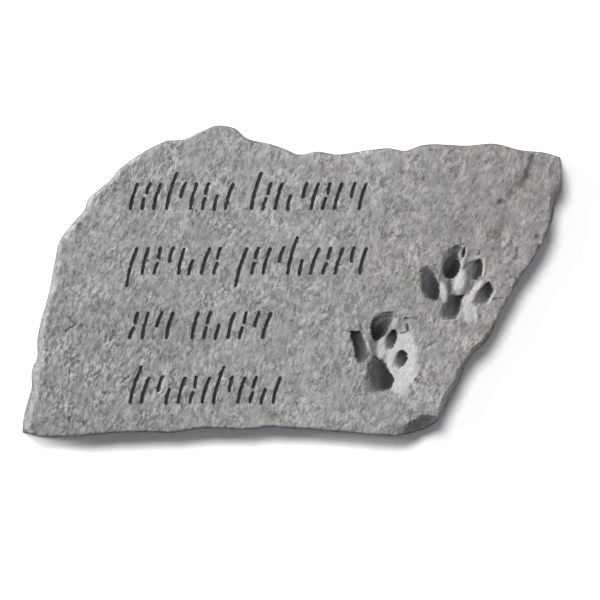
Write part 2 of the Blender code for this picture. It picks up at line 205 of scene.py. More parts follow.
UPPER_PAW = {
    "place": (0.3018, -0.0088),
    "dish": (0.125, -0.012, 0.345, 0.440, 8.0),
    "pads": (
        {
            "outline": (
                (-0.337, 0.215), (-0.265, 0.136), (-0.236, 0.078), (-0.207, 0.028),
                (-0.200, -0.037), (-0.204, -0.109), (-0.211, -0.181), (-0.243, -0.203),
                (-0.301, -0.184), (-0.359, -0.153), (-0.400, -0.102), (-0.431, 0.010),
                (-0.437, 0.093), (-0.417, 0.158), (-0.380, 0.198),
            ),
            "steep": -10.0, "soft": 0.100, "wash": (0.56, 1.00),
        },
        {
            "outline": (
                (-0.164, 0.345), (-0.142, 0.374), (-0.063, 0.417), (0.009, 0.453),
                (0.060, 0.446), (0.050, 0.390), (0.022, 0.350), (0.020, 0.290),
                (0.046, 0.230), (0.038, 0.165), (0.002, 0.093), (-0.049, 0.050),
                (-0.114, 0.068), (-0.150, 0.122), (-0.166, 0.208), (-0.175, 0.280),
            ),
            "steep": -32.0, "soft": 0.066, "wash": (0.26, 1.20),
        },
        {
            "outline": (
                (0.204, 0.266), (0.247, 0.298), (0.288, 0.304), (0.302, 0.244),
                (0.306, 0.172), (0.291, 0.107), (0.247, 0.044), (0.211, 0.038),
                (0.168, 0.085), (0.139, 0.143), (0.128, 0.208), (0.146, 0.259),
            ),
            "steep": -8.0, "soft": 0.070, "wash": (0.05, 1.18),
        },
        {
            "outline": (
                (0.392, 0.028), (0.418, 0.006), (0.428, -0.044), (0.444, -0.080),
                (0.384, -0.182), (0.348, -0.239), (0.254, -0.268), (0.222, -0.261),
                (0.229, -0.196), (0.276, -0.088), (0.356, -0.001),
            ),
            "steep": -4.0, "soft": 0.090, "wash": (0.03, 1.18),
        },
        {
            "outline": (
                (-0.056, -0.131), (0.052, -0.145), (0.090, -0.134), (0.060, -0.182),
                (0.056, -0.239), (0.038, -0.304), (-0.005, -0.405), (-0.056, -0.418),
                (-0.121, -0.430), (-0.168, -0.412), (-0.196, -0.355), (-0.178, -0.297),
                (-0.142, -0.246), (-0.077, -0.160),
            ),
            "steep": -5.0, "soft": 0.120, "wash": (0.40, 1.02),
        },
    ),
    "lumps": (
        (-0.139, -0.104, 0.061, 0.158, -5.0, 0.90, 0.032),
        (0.062, 0.018, 0.096, 0.172, 10.0, 0.94, 0.036),
        (0.039, 0.310, 0.030, 0.083, 0.0, 0.80, 0.016),
        (0.119, 0.369, 0.024, 0.090, 8.0, 0.70, 0.013),
        (0.075, 0.230, 0.045, 0.130, 12.0, 0.70, 0.016),
        (0.250, 0.325, 0.040, 0.022, 0.0, 0.60, 0.004),
        (0.325, 0.190, 0.027, 0.140, 5.0, 0.95, 0.010),
        (0.240, -0.090, 0.064, 0.188, 33.0, 0.92, 0.024),
        (0.135, -0.200, 0.075, 0.085, 0.0, 0.80, 0.004),
        (0.423, -0.167, 0.021, 0.119, 33.0, 1.00, 0.008),
        (0.154, -0.318, 0.085, 0.175, 0.0, 0.60, 0.008),
        (0.232, -0.383, 0.026, 0.125, 0.0, 0.86, 0.012),
    ),
    "marks": (
        ((-0.140, 0.368), (-0.040, 0.424), 0.015, 0.34),
        ((-0.040, 0.424), (0.104, 0.480), 0.011, 0.42),
        ((0.094, 0.430), (0.080, 0.315), 0.017, 1.05),
        ((0.030, -0.150), (0.093, -0.132), 0.016, 0.75),
        ((-0.071, 0.040), (-0.066, -0.110), 0.032, 0.38),
        ((0.276, 0.395), (0.262, 0.357), 0.021, 0.55),
        ((-0.285, 0.214), (-0.226, 0.220), 0.014, 0.32),
    ),
}
PAWS = (LOWER_PAW, UPPER_PAW)
DISH_LOWEST = (-0.45, 0.20)

# Cracks, creases and low ridges of the face: places as for the rows, half width and depth in
# metres, less than nothing for a ridge, and how dark the line is, as painted shade; less than
# nothing there makes a ridge paler, as painted light
CREASES = (
    (((-0.4667, -0.1640), (-0.4148, -0.1610)), 0.0026, 0.0009, 0.12),
    (((-0.4148, -0.1595), (-0.3963, -0.1339)), 0.0008, 0.0012, 0.55),
    (((-0.3889, -0.1435), (-0.3741, -0.1467)), 0.0008, 0.0009, 0.40),
    (((-0.3150, -0.3240), (-0.2981, -0.3040)), 0.0009, 0.0009, 0.35),
    (((-0.3685, -0.3060), (-0.3555, -0.3000)), 0.0009, 0.0010, 0.35),
    (((-0.3450, -0.3540), (-0.3220, -0.3590)), 0.0011, 0.0009, 0.25),
    (((-0.4520, -0.2400), (-0.4490, -0.2620)), 0.0010, 0.0009, 0.30),
    (((-0.4090, -0.4360), (-0.4075, -0.4480)), 0.0009, 0.0012, 0.50),
    (((-0.3830, -0.4480), (-0.3815, -0.4570)), 0.0009, 0.0012, 0.50),
    (((0.4500, 0.4190), (0.4420, 0.3750), (0.4345, 0.3343)), 0.0028, 0.0022, 0.66),
    (((0.4345, 0.3343), (0.4270, 0.3080)), 0.0022, 0.0014, 0.50),
    (((0.4315, 0.3343), (0.4222, 0.3118), (0.3944, 0.2445), (0.3852, 0.1002)),
     0.0038, 0.0014, 0.24),
    (((0.4815, 0.3952), (0.4713, 0.3503)), 0.0012, -0.0007, -0.20),
    (((0.3759, 0.0842), (0.4000, 0.1323)), 0.0014, -0.0009, -0.30),
    (((0.4129, 0.1066), (0.4129, 0.0681)), 0.0011, 0.0014, 0.55),
    (((0.3722, -0.0569), (0.3870, -0.0569)), 0.0010, 0.0010, 0.60),
    (((0.3481, -0.0729), (0.3481, -0.1307)), 0.0010, 0.0008, 0.30),
)

# Chips at the edge of the face and a few deep pits: place as for the rows, then half width, half
# length and depth in metres. Chips and pits deeper than the pit depth are darkened with painted
# shade.
CHIPS = (
    (-0.2574, -0.4866, 0.0048, 0.0024, 0.0026),
    (-0.1518, -0.4770, 0.0100, 0.0018, 0.0016),
    (-0.0407, -0.4802, 0.0026, 0.0018, 0.0020),
    (0.0167, -0.4866, 0.0030, 0.0018, 0.0020),
    (0.3852, 0.4321, 0.0026, 0.0014, 0.0018),
    (0.4222, 0.4193, 0.0026, 0.0016, 0.0020),
    (-0.1463, -0.4193, 0.0016, 0.0016, 0.0014),
    (0.2020, -0.4820, 0.0130, 0.0078, 0.0015),
    (0.3861, 0.2525, 0.0030, 0.0024, 0.0022),
    (0.4520, 0.1400, 0.0020, 0.0030, 0.0018),
)

# Olive spots on the right half: place as for the rows and radius in metres
OLIVE_SPOTS = (
    (0.4290, 0.2950, 0.0058), (0.4203, 0.2541, 0.0058), (0.3685, 0.1483, 0.0062),
    (0.2278, -0.0056, 0.0070),
)

# Small random forms, in metres. A stray is how far it pushes and then the spacing of its swells,
# across and up where there are two. A grain is its length across and up. The chip's left reach and
# the foot's shade are where they start and over how far they blend.
NOTCH_SPACINGS = (0.0075, 0.0031)
WEAR_SPACING = 0.0110
PAD_WANDER_SPACING = 0.0085
PAD_EDGE_SPACING = 0.0021
GRAIN_PATCH_SPACING = 0.021
GRAIN_STRAY = (0.0030, 0.024)
COARSE_GRAIN = (0.0083, 0.0102)
SIDE_GRAIN = (0.0031, 0.0026)
CREASE_STRAY = (0.0012, 0.006)
PIT_STRAY = (0.0007, 0.0025)
PIT_RADIUS = 0.0024
CHIP_STRAY = (0.0013, 0.0052, 0.0040)
CHIP_BREAK = 0.0015
CHIP_LEFT_REACH = (0.0235, 0.009)
FOOT_SHADE = (0.014, 0.007)
UNDERSIDE_RISE = 0.0003
FLOOR_SIZE = 12.0
LATTICE_SIZE = 64
UNEVEN_SEED = 7
GRAIN_SEED = 40
PIT_SEED = 5
PIT_COUNT = 480

# The finish: noises as patches per metre, detail and the two levels between which they run, then
# how the grain is stretched, the reach of the paint from a stroke's middle line and the bump
NOISES = {
    "speckle": (450.0, 2.0, 0.30, 0.70),
    "sand": (900.0, 1.0, 0.28, 0.72),
    "pits": (250.0, 2.0, 0.31, 0.41),
    "strength": (75.0, 2.0, 0.35, 0.65),
    "drift": (24.0, 1.0, 0.35, 0.65),
    "cast": (78.0, 1.0, 0.36, 0.64),
    "clouds": (38.0, 3.0, 0.30, 0.70),
    "wash": (60.0, 1.0, 0.38, 0.62),
}
GRAIN_STRETCH = (1.9, 1.0, 1.3)
PAINT_REACH = (0.00165, 0.00105)
PAINT_STRAY = 0.0003
BUMP_DISTANCE = 0.00030


def length_prop(name, description, default):
    """A length in metres that a user can set."""
    return bpy.props.FloatProperty(
        name=name, description=description, default=default, unit="LENGTH"
    )


def angle_prop(name, description, degrees):
    """An angle that a user can set, its default given in degrees."""
    return bpy.props.FloatProperty(
        name=name, description=description, default=math.radians(degrees), subtype="ANGLE"
    )


def number_prop(name, description, default):
    """A plain number that a user can set."""
    return bpy.props.FloatProperty(name=name, description=description, default=default)


def colour_prop(name, description, default):
    """A colour that a user can set; a tint may go a little over 1."""
    return bpy.props.FloatVectorProperty(
        name=name, description=description, default=default, subtype="COLOR", max=1.2
    )


class StoneSizes(bpy.types.PropertyGroup):
    """Sizes of the stone's surface. The sizes that part.py also has are the same there."""

    length: length_prop(
        "Length", "Length along the rows of strokes", float(STONE_HIGH[0] - STONE_LOW[0])
    )
    width: length_prop("Width", "Width up the face", float(STONE_HIGH[1] - STONE_LOW[1]))
    thickness: length_prop("Thickness", "Height that the uneven face stays under", 0.032)
    arris_wear: length_prop("Arris wear", "How far the edge of the face is rounded", 0.0016)
    left_wear: length_prop(
        "Left wear", "How far the edge of the face is rounded at the left side", 0.0026
    )
    foot_wear: length_prop("Foot wear", "How far the edge of the underside is rounded in", 0.0018)
    foot_height: length_prop("Foot height", "Height at which the stone is widest", 0.0040)
    side_roughness: length_prop("Side roughness", "Deepest dent of the broken sides", 0.0016)
    left_lean: length_prop("Left lean", "How far the left side leans in", 0.0050)
    top_lean: length_prop("Top lean", "How far the top side leans in", 0.0012)
    right_lean: length_prop("Right lean", "How far the right side leans in", 0.0045)
    bottom_lean: length_prop("Bottom lean", "How far the bottom side leans in", 0.0010)
    broad_rise: length_prop("Broad unevenness", "Height of the face's broad swells", 0.0014)
    broad_spacing: length_prop("Broad spacing", "Spacing of the face's broad swells", 0.055)
    small_rise: length_prop("Small unevenness", "Height of the face's small swells", 0.0007)
    small_spacing: length_prop("Small spacing", "Spacing of the face's small swells", 0.019)
    grain_rise: length_prop("Grain", "Depth of the grain of the face", 0.00074)
    grain_length: length_prop("Grain length", "Length of a grain along its lean", 0.0058)
    grain_width: length_prop("Grain width", "Width of a grain across its lean", 0.0026)
    grain_lean: angle_prop("Grain lean", "Angle of the grain above the rows", 68.0)
    chip_radius: length_prop("Chip radius", "Reach of the broken lower right corner", 0.0193)
    chip_fall: number_prop("Chip fall", "Slope of the broken corner, as rise over run", 1.60)
    row_pitch: length_prop("Row pitch", "Distance from row to row", 0.0475)
    stroke_rise: length_prop("Stroke rise", "Height of a plain stroke", 0.0178)
    stroke_pitch: length_prop("Stroke pitch", "Distance from stroke to stroke", 0.0088)
    word_gap: length_prop(
        "Word gap", "Distance from the last stroke of a word to the next word", 0.0190
    )
    stroke_width: length_prop("Stroke width", "Width of a stroke's groove", 0.0026)
    stroke_slant: number_prop(
        "Stroke slant", "How far a stroke leans right for each rise of 1", 0.30
    )
    paw_length: length_prop(
        "Paw length", "Length of a paw print, which its pads are shares of", 0.0622
    )
    paw_depth: length_prop("Paw depth", "Depth of a paw print's dish", 0.0052)
    pad_depth: length_prop("Pad depth", "Depth of a pad below the dish", 0.0042)
    edge_break: length_prop("Edge break", "Deepest notch of the ragged edge of the face", 0.0010)
    pit_depth: length_prop("Pit depth", "Depth of the deepest of the scattered pits", 0.0010)
    cell: length_prop("Cell", "Spacing of the surface's points, halved at strokes and paws", 0.0012)


class StoneColours(bpy.types.PropertyGroup):
    """Colours of the stone and of the paint in it."""

    # The face runs from the dark to the light grain colour with the height of its grain: painted
    # shade in the grain's hollows, on top of random speckle
    light: colour_prop("Light grain", "Cast stone at the top of the grain", (0.285, 0.282, 0.276))
    dark: colour_prop("Dark grain", "Cast stone in the hollows of the grain", (0.085, 0.084, 0.083))
    warm: colour_prop("Warm cast", "Tint of the right half of the stone", (1.035, 0.99, 0.975))
    cool: colour_prop("Cool cast", "Tint of the lower left of the stone", (0.985, 1.0, 0.995))
    green_cast: colour_prop(
        "Green cast", "Faint tint of half of the small patches", (0.992, 1.002, 0.998)
    )
    pink_cast: colour_prop(
        "Pink cast", "Faint tint of the other small patches", (1.008, 0.998, 1.002)
    )
    olive: colour_prop("Olive cast", "Tint of a few spots on the right half", (0.815, 0.815, 0.745))
    # Paler than the face, both as smooth bare stone and as painted light on walls that face the
    # light
    bare_and_lit: colour_prop(
        "Bare stone", "Smooth pale stone between the pads of the paw prints", (0.318, 0.318, 0.312)
    )
    paint: colour_prop("Paint", "Dark paint in the strokes", (0.021, 0.024, 0.023))
    wash_green: colour_prop(
        "Greenish wash", "Dark wash in the pads, where it is greenish", (0.067, 0.073, 0.071)
    )
    wash_purple: colour_prop(
        "Purplish wash", "Dark wash in the pads, where it is purplish", (0.070, 0.066, 0.072)
    )
    floor: colour_prop("Floor", "Floor under the stone", (0.93, 0.93, 0.93))


class StageSettings(bpy.types.PropertyGroup):
    """The camera and the lights."""

    camera_distance: length_prop(
        "Camera distance", "Height of the camera above the foot of the stone", 4.0
    )
    frame_width: length_prop("Frame width", "Width of the view at the foot of the stone", 0.4444)
    aim_across: length_prop(
        "Aim across", "How far right of the stone's middle the camera looks", 0.0059
    )
    aim_up: length_prop("Aim up", "How far up the face from its middle the camera looks", -0.0139)
    top_strength: number_prop("Top strength", "Strength of the high light", 2.88)
    top_elevation: angle_prop("Top elevation", "Height of the high light above the floor", 64.2)
    top_bearing: angle_prop(
        "Top bearing", "Turn of the high light from the left towards the top", 66.0
    )
    top_spread: angle_prop(
        "Top spread", "Angle that the high light fills, which softens shadows", 19.0
    )
    rake_strength: number_prop("Rake strength", "Strength of the low light", 3.6)
    rake_elevation: angle_prop("Rake elevation", "Height of the low light above the floor", 32.0)
    rake_bearing: angle_prop(
        "Rake bearing", "Turn of the low light from the left towards the top", 19.0
    )
    rake_spread: angle_prop("Rake spread", "Angle that the low light fills", 22.0)
    fill_strength: number_prop("Fill strength", "Strength of the even light from all round", 0.25)
    fill_colour: colour_prop(
        "Fill colour", "Colour of the even light, which tints the shadows", (0.955, 0.99, 1.03)
    )


def smooth_path(points, steps=PATH_STEPS):
    """A curve through the points, at even steps along its length.

    Each span is a cubic whose slopes at its ends follow the points on both sides.
    """
    points = np.array(points, float)
    spans = np.linalg.norm(np.diff(points, axis=0), axis=1)
    marks = np.concatenate([[0.0], np.cumsum(spans)])
    slopes = np.gradient(points, marks, axis=0)
    along = np.linspace(0.0, marks[-1], steps + 1)
    span = np.clip(np.searchsorted(marks, along, side="right") - 1, 0, len(spans) - 1)
    width = spans[span][:, None]
    share = (along - marks[span])[:, None] / width
    curve = (
        (2 * share**3 - 3 * share**2 + 1) * points[span]
        + (share**3 - 2 * share**2 + share) * width * slopes[span]
        + (3 * share**2 - 2 * share**3) * points[span + 1]
        + (share**3 - share**2) * width * slopes[span + 1]
    )
    lengths = np.linalg.norm(np.diff(curve, axis=0), axis=1)
    travelled = np.concatenate([[0.0], np.cumsum(lengths)])
    even = np.linspace(0.0, travelled[-1], steps + 1)
    return np.stack([np.interp(even, travelled, curve[:, axis]) for axis in (0, 1)], axis=1)


def ground_sides(sizes):
    """The four sides of the outline on the ground, filling the stone's box."""
    shares = [smooth_path(side) for side in (BOTTOM_SIDE, RIGHT_SIDE, TOP_SIDE, LEFT_SIDE)]
    every = np.concatenate(shares)
    lowest, highest = every.min(axis=0), every.max(axis=0)
    size = np.array([sizes.length, sizes.width])
    middle = (np.array(STONE_LOW[:2]) + np.array(STONE_HIGH[:2])) / 2
    return [middle + ((side - lowest) / (highest - lowest) - 0.5) * size for side in shares]


def loop_of(sides):
    """One anticlockwise loop from the four sides, with no point twice."""
    bottom, right, top, left = sides
    return np.concatenate([bottom[:-1], right[:-1], top[:0:-1], left[:0:-1]])


def sides_of(loop):
    """The four sides of such a loop, each with both of its ends."""
    steps = PATH_STEPS
    closed = np.concatenate([loop, loop[:1]])
    return [
        closed[: steps + 1],
        closed[steps : 2 * steps + 1],
        closed[2 * steps : 3 * steps + 1][::-1],
        closed[3 * steps :][::-1],
    ]


def blend_round(values, reach):
    """A closed run of values, each averaged with those within reach of it."""
    padded = np.concatenate([values[-reach:], values, values[:reach]])
    kernel = np.ones(2 * reach + 1) / (2 * reach + 1)
    columns = padded.reshape(len(padded), -1).T
    return np.stack([np.convolve(column, kernel, "valid") for column in columns], axis=1)


def inset(sides, depths):
    """The sides moved inwards by the given depths, square to a smoothed direction."""
    loop = loop_of(sides)
    along = np.roll(loop, -1, axis=0) - np.roll(loop, 1, axis=0)
    inwards = blend_round(np.stack([-along[:, 1], along[:, 0]], axis=1), LEAN_BLEND)
    inwards /= np.linalg.norm(inwards, axis=1)[:, None]
    return sides_of(loop + inwards * depths)


def leans(sizes):
    """How far the side leans in at each point of the loop, blended past the corners."""
    up = np.linspace(0.0, 1.0, PATH_STEPS + 1)
    right = sizes.right_lean * np.interp(up, *zip(*RIGHT_LEAN_TURNS))
    left = sizes.left_lean * np.interp(up, *zip(*LEFT_LEAN_TURNS))
    level = np.ones(PATH_STEPS)
    depths = np.concatenate([
        level * sizes.bottom_lean, right[:-1], level * sizes.top_lean, left[:0:-1],
    ])
    return blend_round(depths, LEAN_BLEND)


def along_loop(loop, spacing, seed):
    """Grainy random values at each point of a closed loop, a grain to each spacing along it."""
    travelled = np.cumsum(np.linalg.norm(np.diff(loop, axis=0, prepend=loop[-1:]), axis=1))
    return granular(travelled / spacing, np.full(len(loop), 0.5), seed)


def wears(sizes, rim):
    """How far the arris is rounded at each point of the loop: unevenly, and more at the left."""
    level = np.ones(PATH_STEPS)
    plain, left = level * sizes.arris_wear, level * sizes.left_wear
    depths = blend_round(np.concatenate([plain, plain, plain, left]), 4 * LEAN_BLEND)
    waver = along_loop(loop_of(rim), WEAR_SPACING, GRAIN_SEED + 13)
    return depths * (1.0 + 0.45 * waver[:, None])


def broken_rim(sizes, ground):
    """The edge of the face: the ground outline leant in, and notched at random inwards."""
    long, short = (
        along_loop(loop_of(ground), spacing, GRAIN_SEED + 8 + number)
        for number, spacing in enumerate(NOTCH_SPACINGS)
    )
    notches = np.clip(0.35 + (0.55 * long + 0.45 * short), 0.0, 1.0)[:, None]
    return inset(ground, leans(sizes) + sizes.edge_break * notches)


def patch(sides, u, v):
    """Points of the surface that the four sides bound, at shares u across and v up.

    It is the sum of the two surfaces ruled between opposite sides, less the surface through
    the four corners, which both of them count.
    """
    steps = np.linspace(0.0, 1.0, PATH_STEPS + 1)
    bottom, right, top, left = (
        np.stack([np.interp(share, steps, side[:, axis]) for axis in (0, 1)], axis=1)
        for side, share in zip(sides, (u, v, u, v))
    )
    u, v = u[:, None], v[:, None]
    corners = (
        (1 - u) * (1 - v) * sides[0][0]
        + u * (1 - v) * sides[0][-1]
        + (1 - u) * v * sides[2][0]
        + u * v * sides[2][-1]
    )
    return (1 - v) * bottom + v * top + (1 - u) * left + u * right - corners


def uneven(x, y, spacing, seed):
    """Smooth random heights from -1 to 1: a seeded lattice of values, eased between them."""
    lattice = np.random.default_rng(seed).uniform(-1.0, 1.0, (LATTICE_SIZE, LATTICE_SIZE))
    column, across = np.divmod(x / spacing, 1.0)
    row, up = np.divmod(y / spacing, 1.0)
    across, up = (share * share * (3 - 2 * share) for share in (across, up))
    column, row = column.astype(int), row.astype(int)

    def value(right, above):
        return lattice[(row + above) % LATTICE_SIZE, (column + right) % LATTICE_SIZE]

    low = value(0, 0) * (1 - across) + value(1, 0) * across
    high = value(0, 1) * (1 - across) + value(1, 1) * across
    return low * (1 - up) + high * up


def granular(x, y, seed):
    """Grainy random heights from about -1 to 1, a grain to each unit of x and y.

    Each lattice point has a seeded slope. The height is the mean of the four slopes' planes,
    eased from one lattice point to the next.
    """
    angles = np.random.default_rng(seed).uniform(0.0, 2 * math.pi, (LATTICE_SIZE * 4,) * 2)
    column, across = np.divmod(x, 1.0)
    row, up = np.divmod(y, 1.0)
    column, row = column.astype(int), row.astype(int)

    def plane(right, above):
        angle = angles[(row + above) % len(angles), (column + right) % len(angles)]
        return np.cos(angle) * (across - right) + np.sin(angle) * (up - above)

    ease_across, ease_up = (s**3 * (s * (6 * s - 15) + 10) for s in (across, up))
    low = plane(0, 0) * (1 - ease_across) + plane(1, 0) * ease_across
    high = plane(0, 1) * (1 - ease_across) + plane(1, 1) * ease_across
    return (low * (1 - ease_up) + high * ease_up) * math.sqrt(2.0)


def on_face(sizes, place):
    """A place on the face, from shares of the length and width."""
    return place[0] * sizes.length, place[1] * sizes.width


def scoop(x, y, middle, hollow, lowest, paw_length):
    """Depth from 0 at the edge of a leaning ellipse to 1 at a lowest point off its middle.

    A point's share of the way from the lowest point to the edge is worked out in the ellipse's
    own axes. The depth is 1 less its square: a crisp rim and a rounded bottom.
    """
    across, up, half_width, half_length, lean = hollow
    angle = math.radians(lean)
    dx = x - middle[0] - across * paw_length
    dy = y - middle[1] - up * paw_length
    s = (dx * math.cos(angle) - dy * math.sin(angle)) / (half_width * paw_length) - lowest[0]
    t = (dx * math.sin(angle) + dy * math.cos(angle)) / (half_length * paw_length) - lowest[1]
    room = 1.0 - lowest[0] ** 2 - lowest[1] ** 2
    towards = s * lowest[0] + t * lowest[1]
    share = (towards + np.sqrt(towards**2 + (s * s + t * t) * room)) / room
    return np.clip(1.0 - share**2, 0.0, None)


def away_from(x, y, start, end):
    """Distance of each point from the straight run between two places."""
    run = np.subtract(end, start)
    share = ((x - start[0]) * run[0] + (y - start[1]) * run[1]) / (run @ run)
    share = np.clip(share, 0.0, 1.0)
    return np.hypot(x - start[0] - share * run[0], y - start[1] - share * run[1])


def rounded(outline):
    """A closed outline with its corners cut off three times, each time a quarter of the way."""
    points = np.array(outline, float)
    for _ in range(3):
        ahead = np.roll(points, -1, axis=0)
        cut = np.stack([0.75 * points + 0.25 * ahead, 0.25 * points + 0.75 * ahead], axis=1)
        points = cut.reshape(-1, 2)
    return points


def inside_by(x, y, outline):
    """How far each point lies inside a closed outline, and less than nothing outside it.

    The distance is to the nearest edge. A point is inside where a ray to the right of it
    crosses an odd number of edges.
    """
    nearest = np.full(len(x), np.inf)
    inside = np.zeros(len(x), bool)
    for start, end in zip(outline, np.roll(outline, -1, axis=0)):
        nearest = np.minimum(nearest, away_from(x, y, start, end))
        if start[1] != end[1]:
            crossing = start[0] + (y - start[1]) * (end[0] - start[0]) / (end[1] - start[1])
            inside ^= ((start[1] > y) != (end[1] > y)) & (x < crossing)
    return np.where(inside, nearest, -nearest)


def eased(values):
    """Values held to 0 and 1, with a smooth start and end."""
    held = np.clip(values, 0.0, 1.0)
    return held * held * (3.0 - 2.0 * held)


def ellipse_share(x, y, hollow):
    """How far out of a leaning ellipse each point lies, 1 at its edge."""
    across, up, half_width, half_length, lean = hollow
    angle = math.radians(lean)
    dx, dy = x - across, y - up
    s = (dx * math.cos(angle) - dy * math.sin(angle)) / half_width
    t = (dx * math.sin(angle) + dy * math.cos(angle)) / half_length
    return np.hypot(s, t)


def pad_hollow(x, y, pad, ragged):
    """Depth, wash and cover of one pad, all from 0 to 1 or a little over.

    A point's distance inside the outline, over the reach of the wall there, gives a rounded
    hollow. The reach is short at the steep edge and long at the opposite one. The wash darkens
    from the soft to the steep edge, in step with the point's place between them.
    """
    outline = rounded(pad["outline"])
    middle = (outline.min(axis=0) + outline.max(axis=0)) / 2
    angle = math.radians(pad["steep"])
    towards = np.array([math.cos(angle), math.sin(angle)])
    reach = np.abs((outline - middle) @ towards).max()
    place = np.clip(((x - middle[0]) * towards[0] + (y - middle[1]) * towards[1]) / reach, -1, 1)
    inside = inside_by(x, y, outline) + 0.008 + ragged
    wall = 0.036 + 0.045 * (1.0 - place) / 2
    sunk = np.clip(inside / wall, 0.0, 1.0)
    depth = sunk * (2.0 - sunk) * (0.72 + 0.28 * place)
    cover = eased(inside / (0.016 + pad["soft"] * (1.0 - place) / 2) + 0.25)
    low, high = pad["wash"]
    return depth, cover * (low + (high - low) * eased((place + 1) / 2)), cover


def paw_relief(x, y, sizes, paw):
    """Depth of a paw print and its masks, for places on the face.

    The dish is a hollow with its lowest point off its middle. Pads are sunk into it, lumps of
    smooth stone rise between them, pale both as bare stone and as painted light, and thin marks are
    scratched in, darkened with painted shade.
    """
    middle = on_face(sizes, paw["place"])
    length = sizes.paw_length
    wander, sway = (
        0.010 * uneven(x, y, PAD_WANDER_SPACING, UNEVEN_SEED + number) for number in (7, 8)
    )
    ragged = 0.012 * granular(x / PAD_EDGE_SPACING, y / PAD_EDGE_SPACING, GRAIN_SEED + 5)
    dish = scoop(x, y, middle, paw["dish"], DISH_LOWEST, length)
    x, y = (x - middle[0]) / length + wander, (y - middle[1]) / length + sway
    pads = [pad_hollow(x, y, pad, ragged) for pad in paw["pads"]]
    sunk, wash, cover = (np.max(values, axis=0) for values in zip(*pads))
    pale = np.zeros(len(x))
    rise = np.zeros(len(x))
    for *hollow, paleness, height in paw["lumps"]:
        share = ellipse_share(x, y, hollow)
        # Paleness of the lumps: bare stone and painted light on walls that face the light
        pale = np.maximum(pale, paleness * eased((1.0 - share) / 0.34 + 20.0 * ragged))
        rise = np.maximum(rise, height * np.clip(1.0 - share**2, 0.0, None))
    mark_shade = np.zeros(len(x))
    # Marks sink shallow grooves, and their darkness is painted shade on the hollows' shaded walls
    for start, end, half_width, darkness in paw["marks"]:
        middle_away = np.hypot(x - (start[0] + end[0]) / 2, y - (start[1] + end[1]) / 2)
        taper = 1.0 - 0.45 * np.clip(2 * middle_away / math.dist(start, end), 0.0, 1.0) ** 2
        away = away_from(x, y, start, end) / (half_width * taper) + 25.0 * ragged
        scratch = darkness * np.clip(1.3 - away**2, 0.0, 1.0)
        mark_shade = np.maximum(mark_shade, scratch)
        sunk = np.maximum(sunk, scratch * half_width * length / sizes.pad_depth)
    depth = (
        sizes.paw_depth * dish * (1.0 - np.clip(rise / 0.05, 0.0, 0.6))
        + sizes.pad_depth * sunk - rise * length * (1.0 - cover)
    )
    return {
        "depth": depth,
        # The wash mask holds the pads' wash and the marks' painted shade
        "wash": np.maximum(wash, mark_shade),
        "pale": pale,
        "smooth": np.max([0.95 * pale**1.5, 0.70 * cover, eased(dish / 0.30) * 0.55], axis=0),
    }


def strokes(sizes):
    """Each stroke's points on the face, row by row.

    A stroke leans to the right and bows a little, and its ends stray as a hand's would.
    """
    stray = np.random.default_rng(STROKE_SEED)
    left, middle = on_face(sizes, (ROWS_LEFT, ROWS_MIDDLE))
    for row, words in enumerate(ROWS):
        base = middle + sizes.row_pitch * ((len(ROWS) - 1) / 2 - row)
        start = left
        for word in words:
            for number, sign in enumerate(word):
                for low, high in STROKE_SPANS[sign]:
                    share = np.linspace(0.0, 1.0, STROKE_POINTS)
                    up = sizes.stroke_rise * (low + (high - low) * share)
                    bow = STROKE_BOW * sizes.stroke_rise * (high - low) * np.sin(np.pi * share)
                    ends = STROKE_STRAY * stray.uniform(-1.0, 1.0, 2)
                    across = sizes.stroke_slant * up - bow + np.interp(share, (0.0, 1.0), ends)
                    place = start + number * sizes.stroke_pitch + across
                    yield np.stack([place, base + up], axis=1)
            start += (len(word) - 1) * sizes.stroke_pitch + sizes.word_gap


def stroke_distance(x, y, sizes):
    """Distance of each point from the middle line of the nearest stroke, at most the reach."""
    nearest = np.full(len(x), STROKE_REACH)
    for points in strokes(sizes):
        low, high = points.min(axis=0) - STROKE_REACH, points.max(axis=0) + STROKE_REACH
        near = np.flatnonzero((x > low[0]) & (x < high[0]) & (y > low[1]) & (y < high[1]))
        for start, end in zip(points[:-1], points[1:]):
            away = away_from(x[near], y[near], start, end)
            nearest[near] = np.minimum(nearest[near], away)
    return nearest


def roughness(x, y, sizes):
    """How strong the grain is, about 1: in broad patches, with more at the lower left corner
    and less at the upper right."""
    patches = granular(x / GRAIN_PATCH_SPACING, y / GRAIN_PATCH_SPACING, GRAIN_SEED + 10)
    patchy = 0.55 + 0.34 * eased(0.5 + 0.9 * patches)
    upper_left = eased((-0.12 - x / sizes.length) / 0.16) * eased((y / sizes.width + 0.02) / 0.20)
    lower_left, upper_right = (corner(x, y, sizes, way) for way in (-1.0, 1.0))
    return patchy * (1.0 + 0.28 * lower_left - 0.20 * upper_right + 0.30 * upper_left)


def corner(x, y, sizes, way):
    """A mask of one end of the face, 1 towards the lower left or, for way 1, the upper right."""
    across = way * x / sizes.length
    up = way * y / sizes.width
    return eased((across - 0.12) / 0.16) * eased((up + 0.02) / 0.20)


def strayed(x, y, stray, seed):
    """Places pushed about at random: stray gives how far, and the spacing of the swells."""
    reach, spacing = stray
    x = x + reach * granular(x / spacing, y / spacing, seed)
    return x, y + reach * granular(x / spacing, y / spacing, seed + 1)


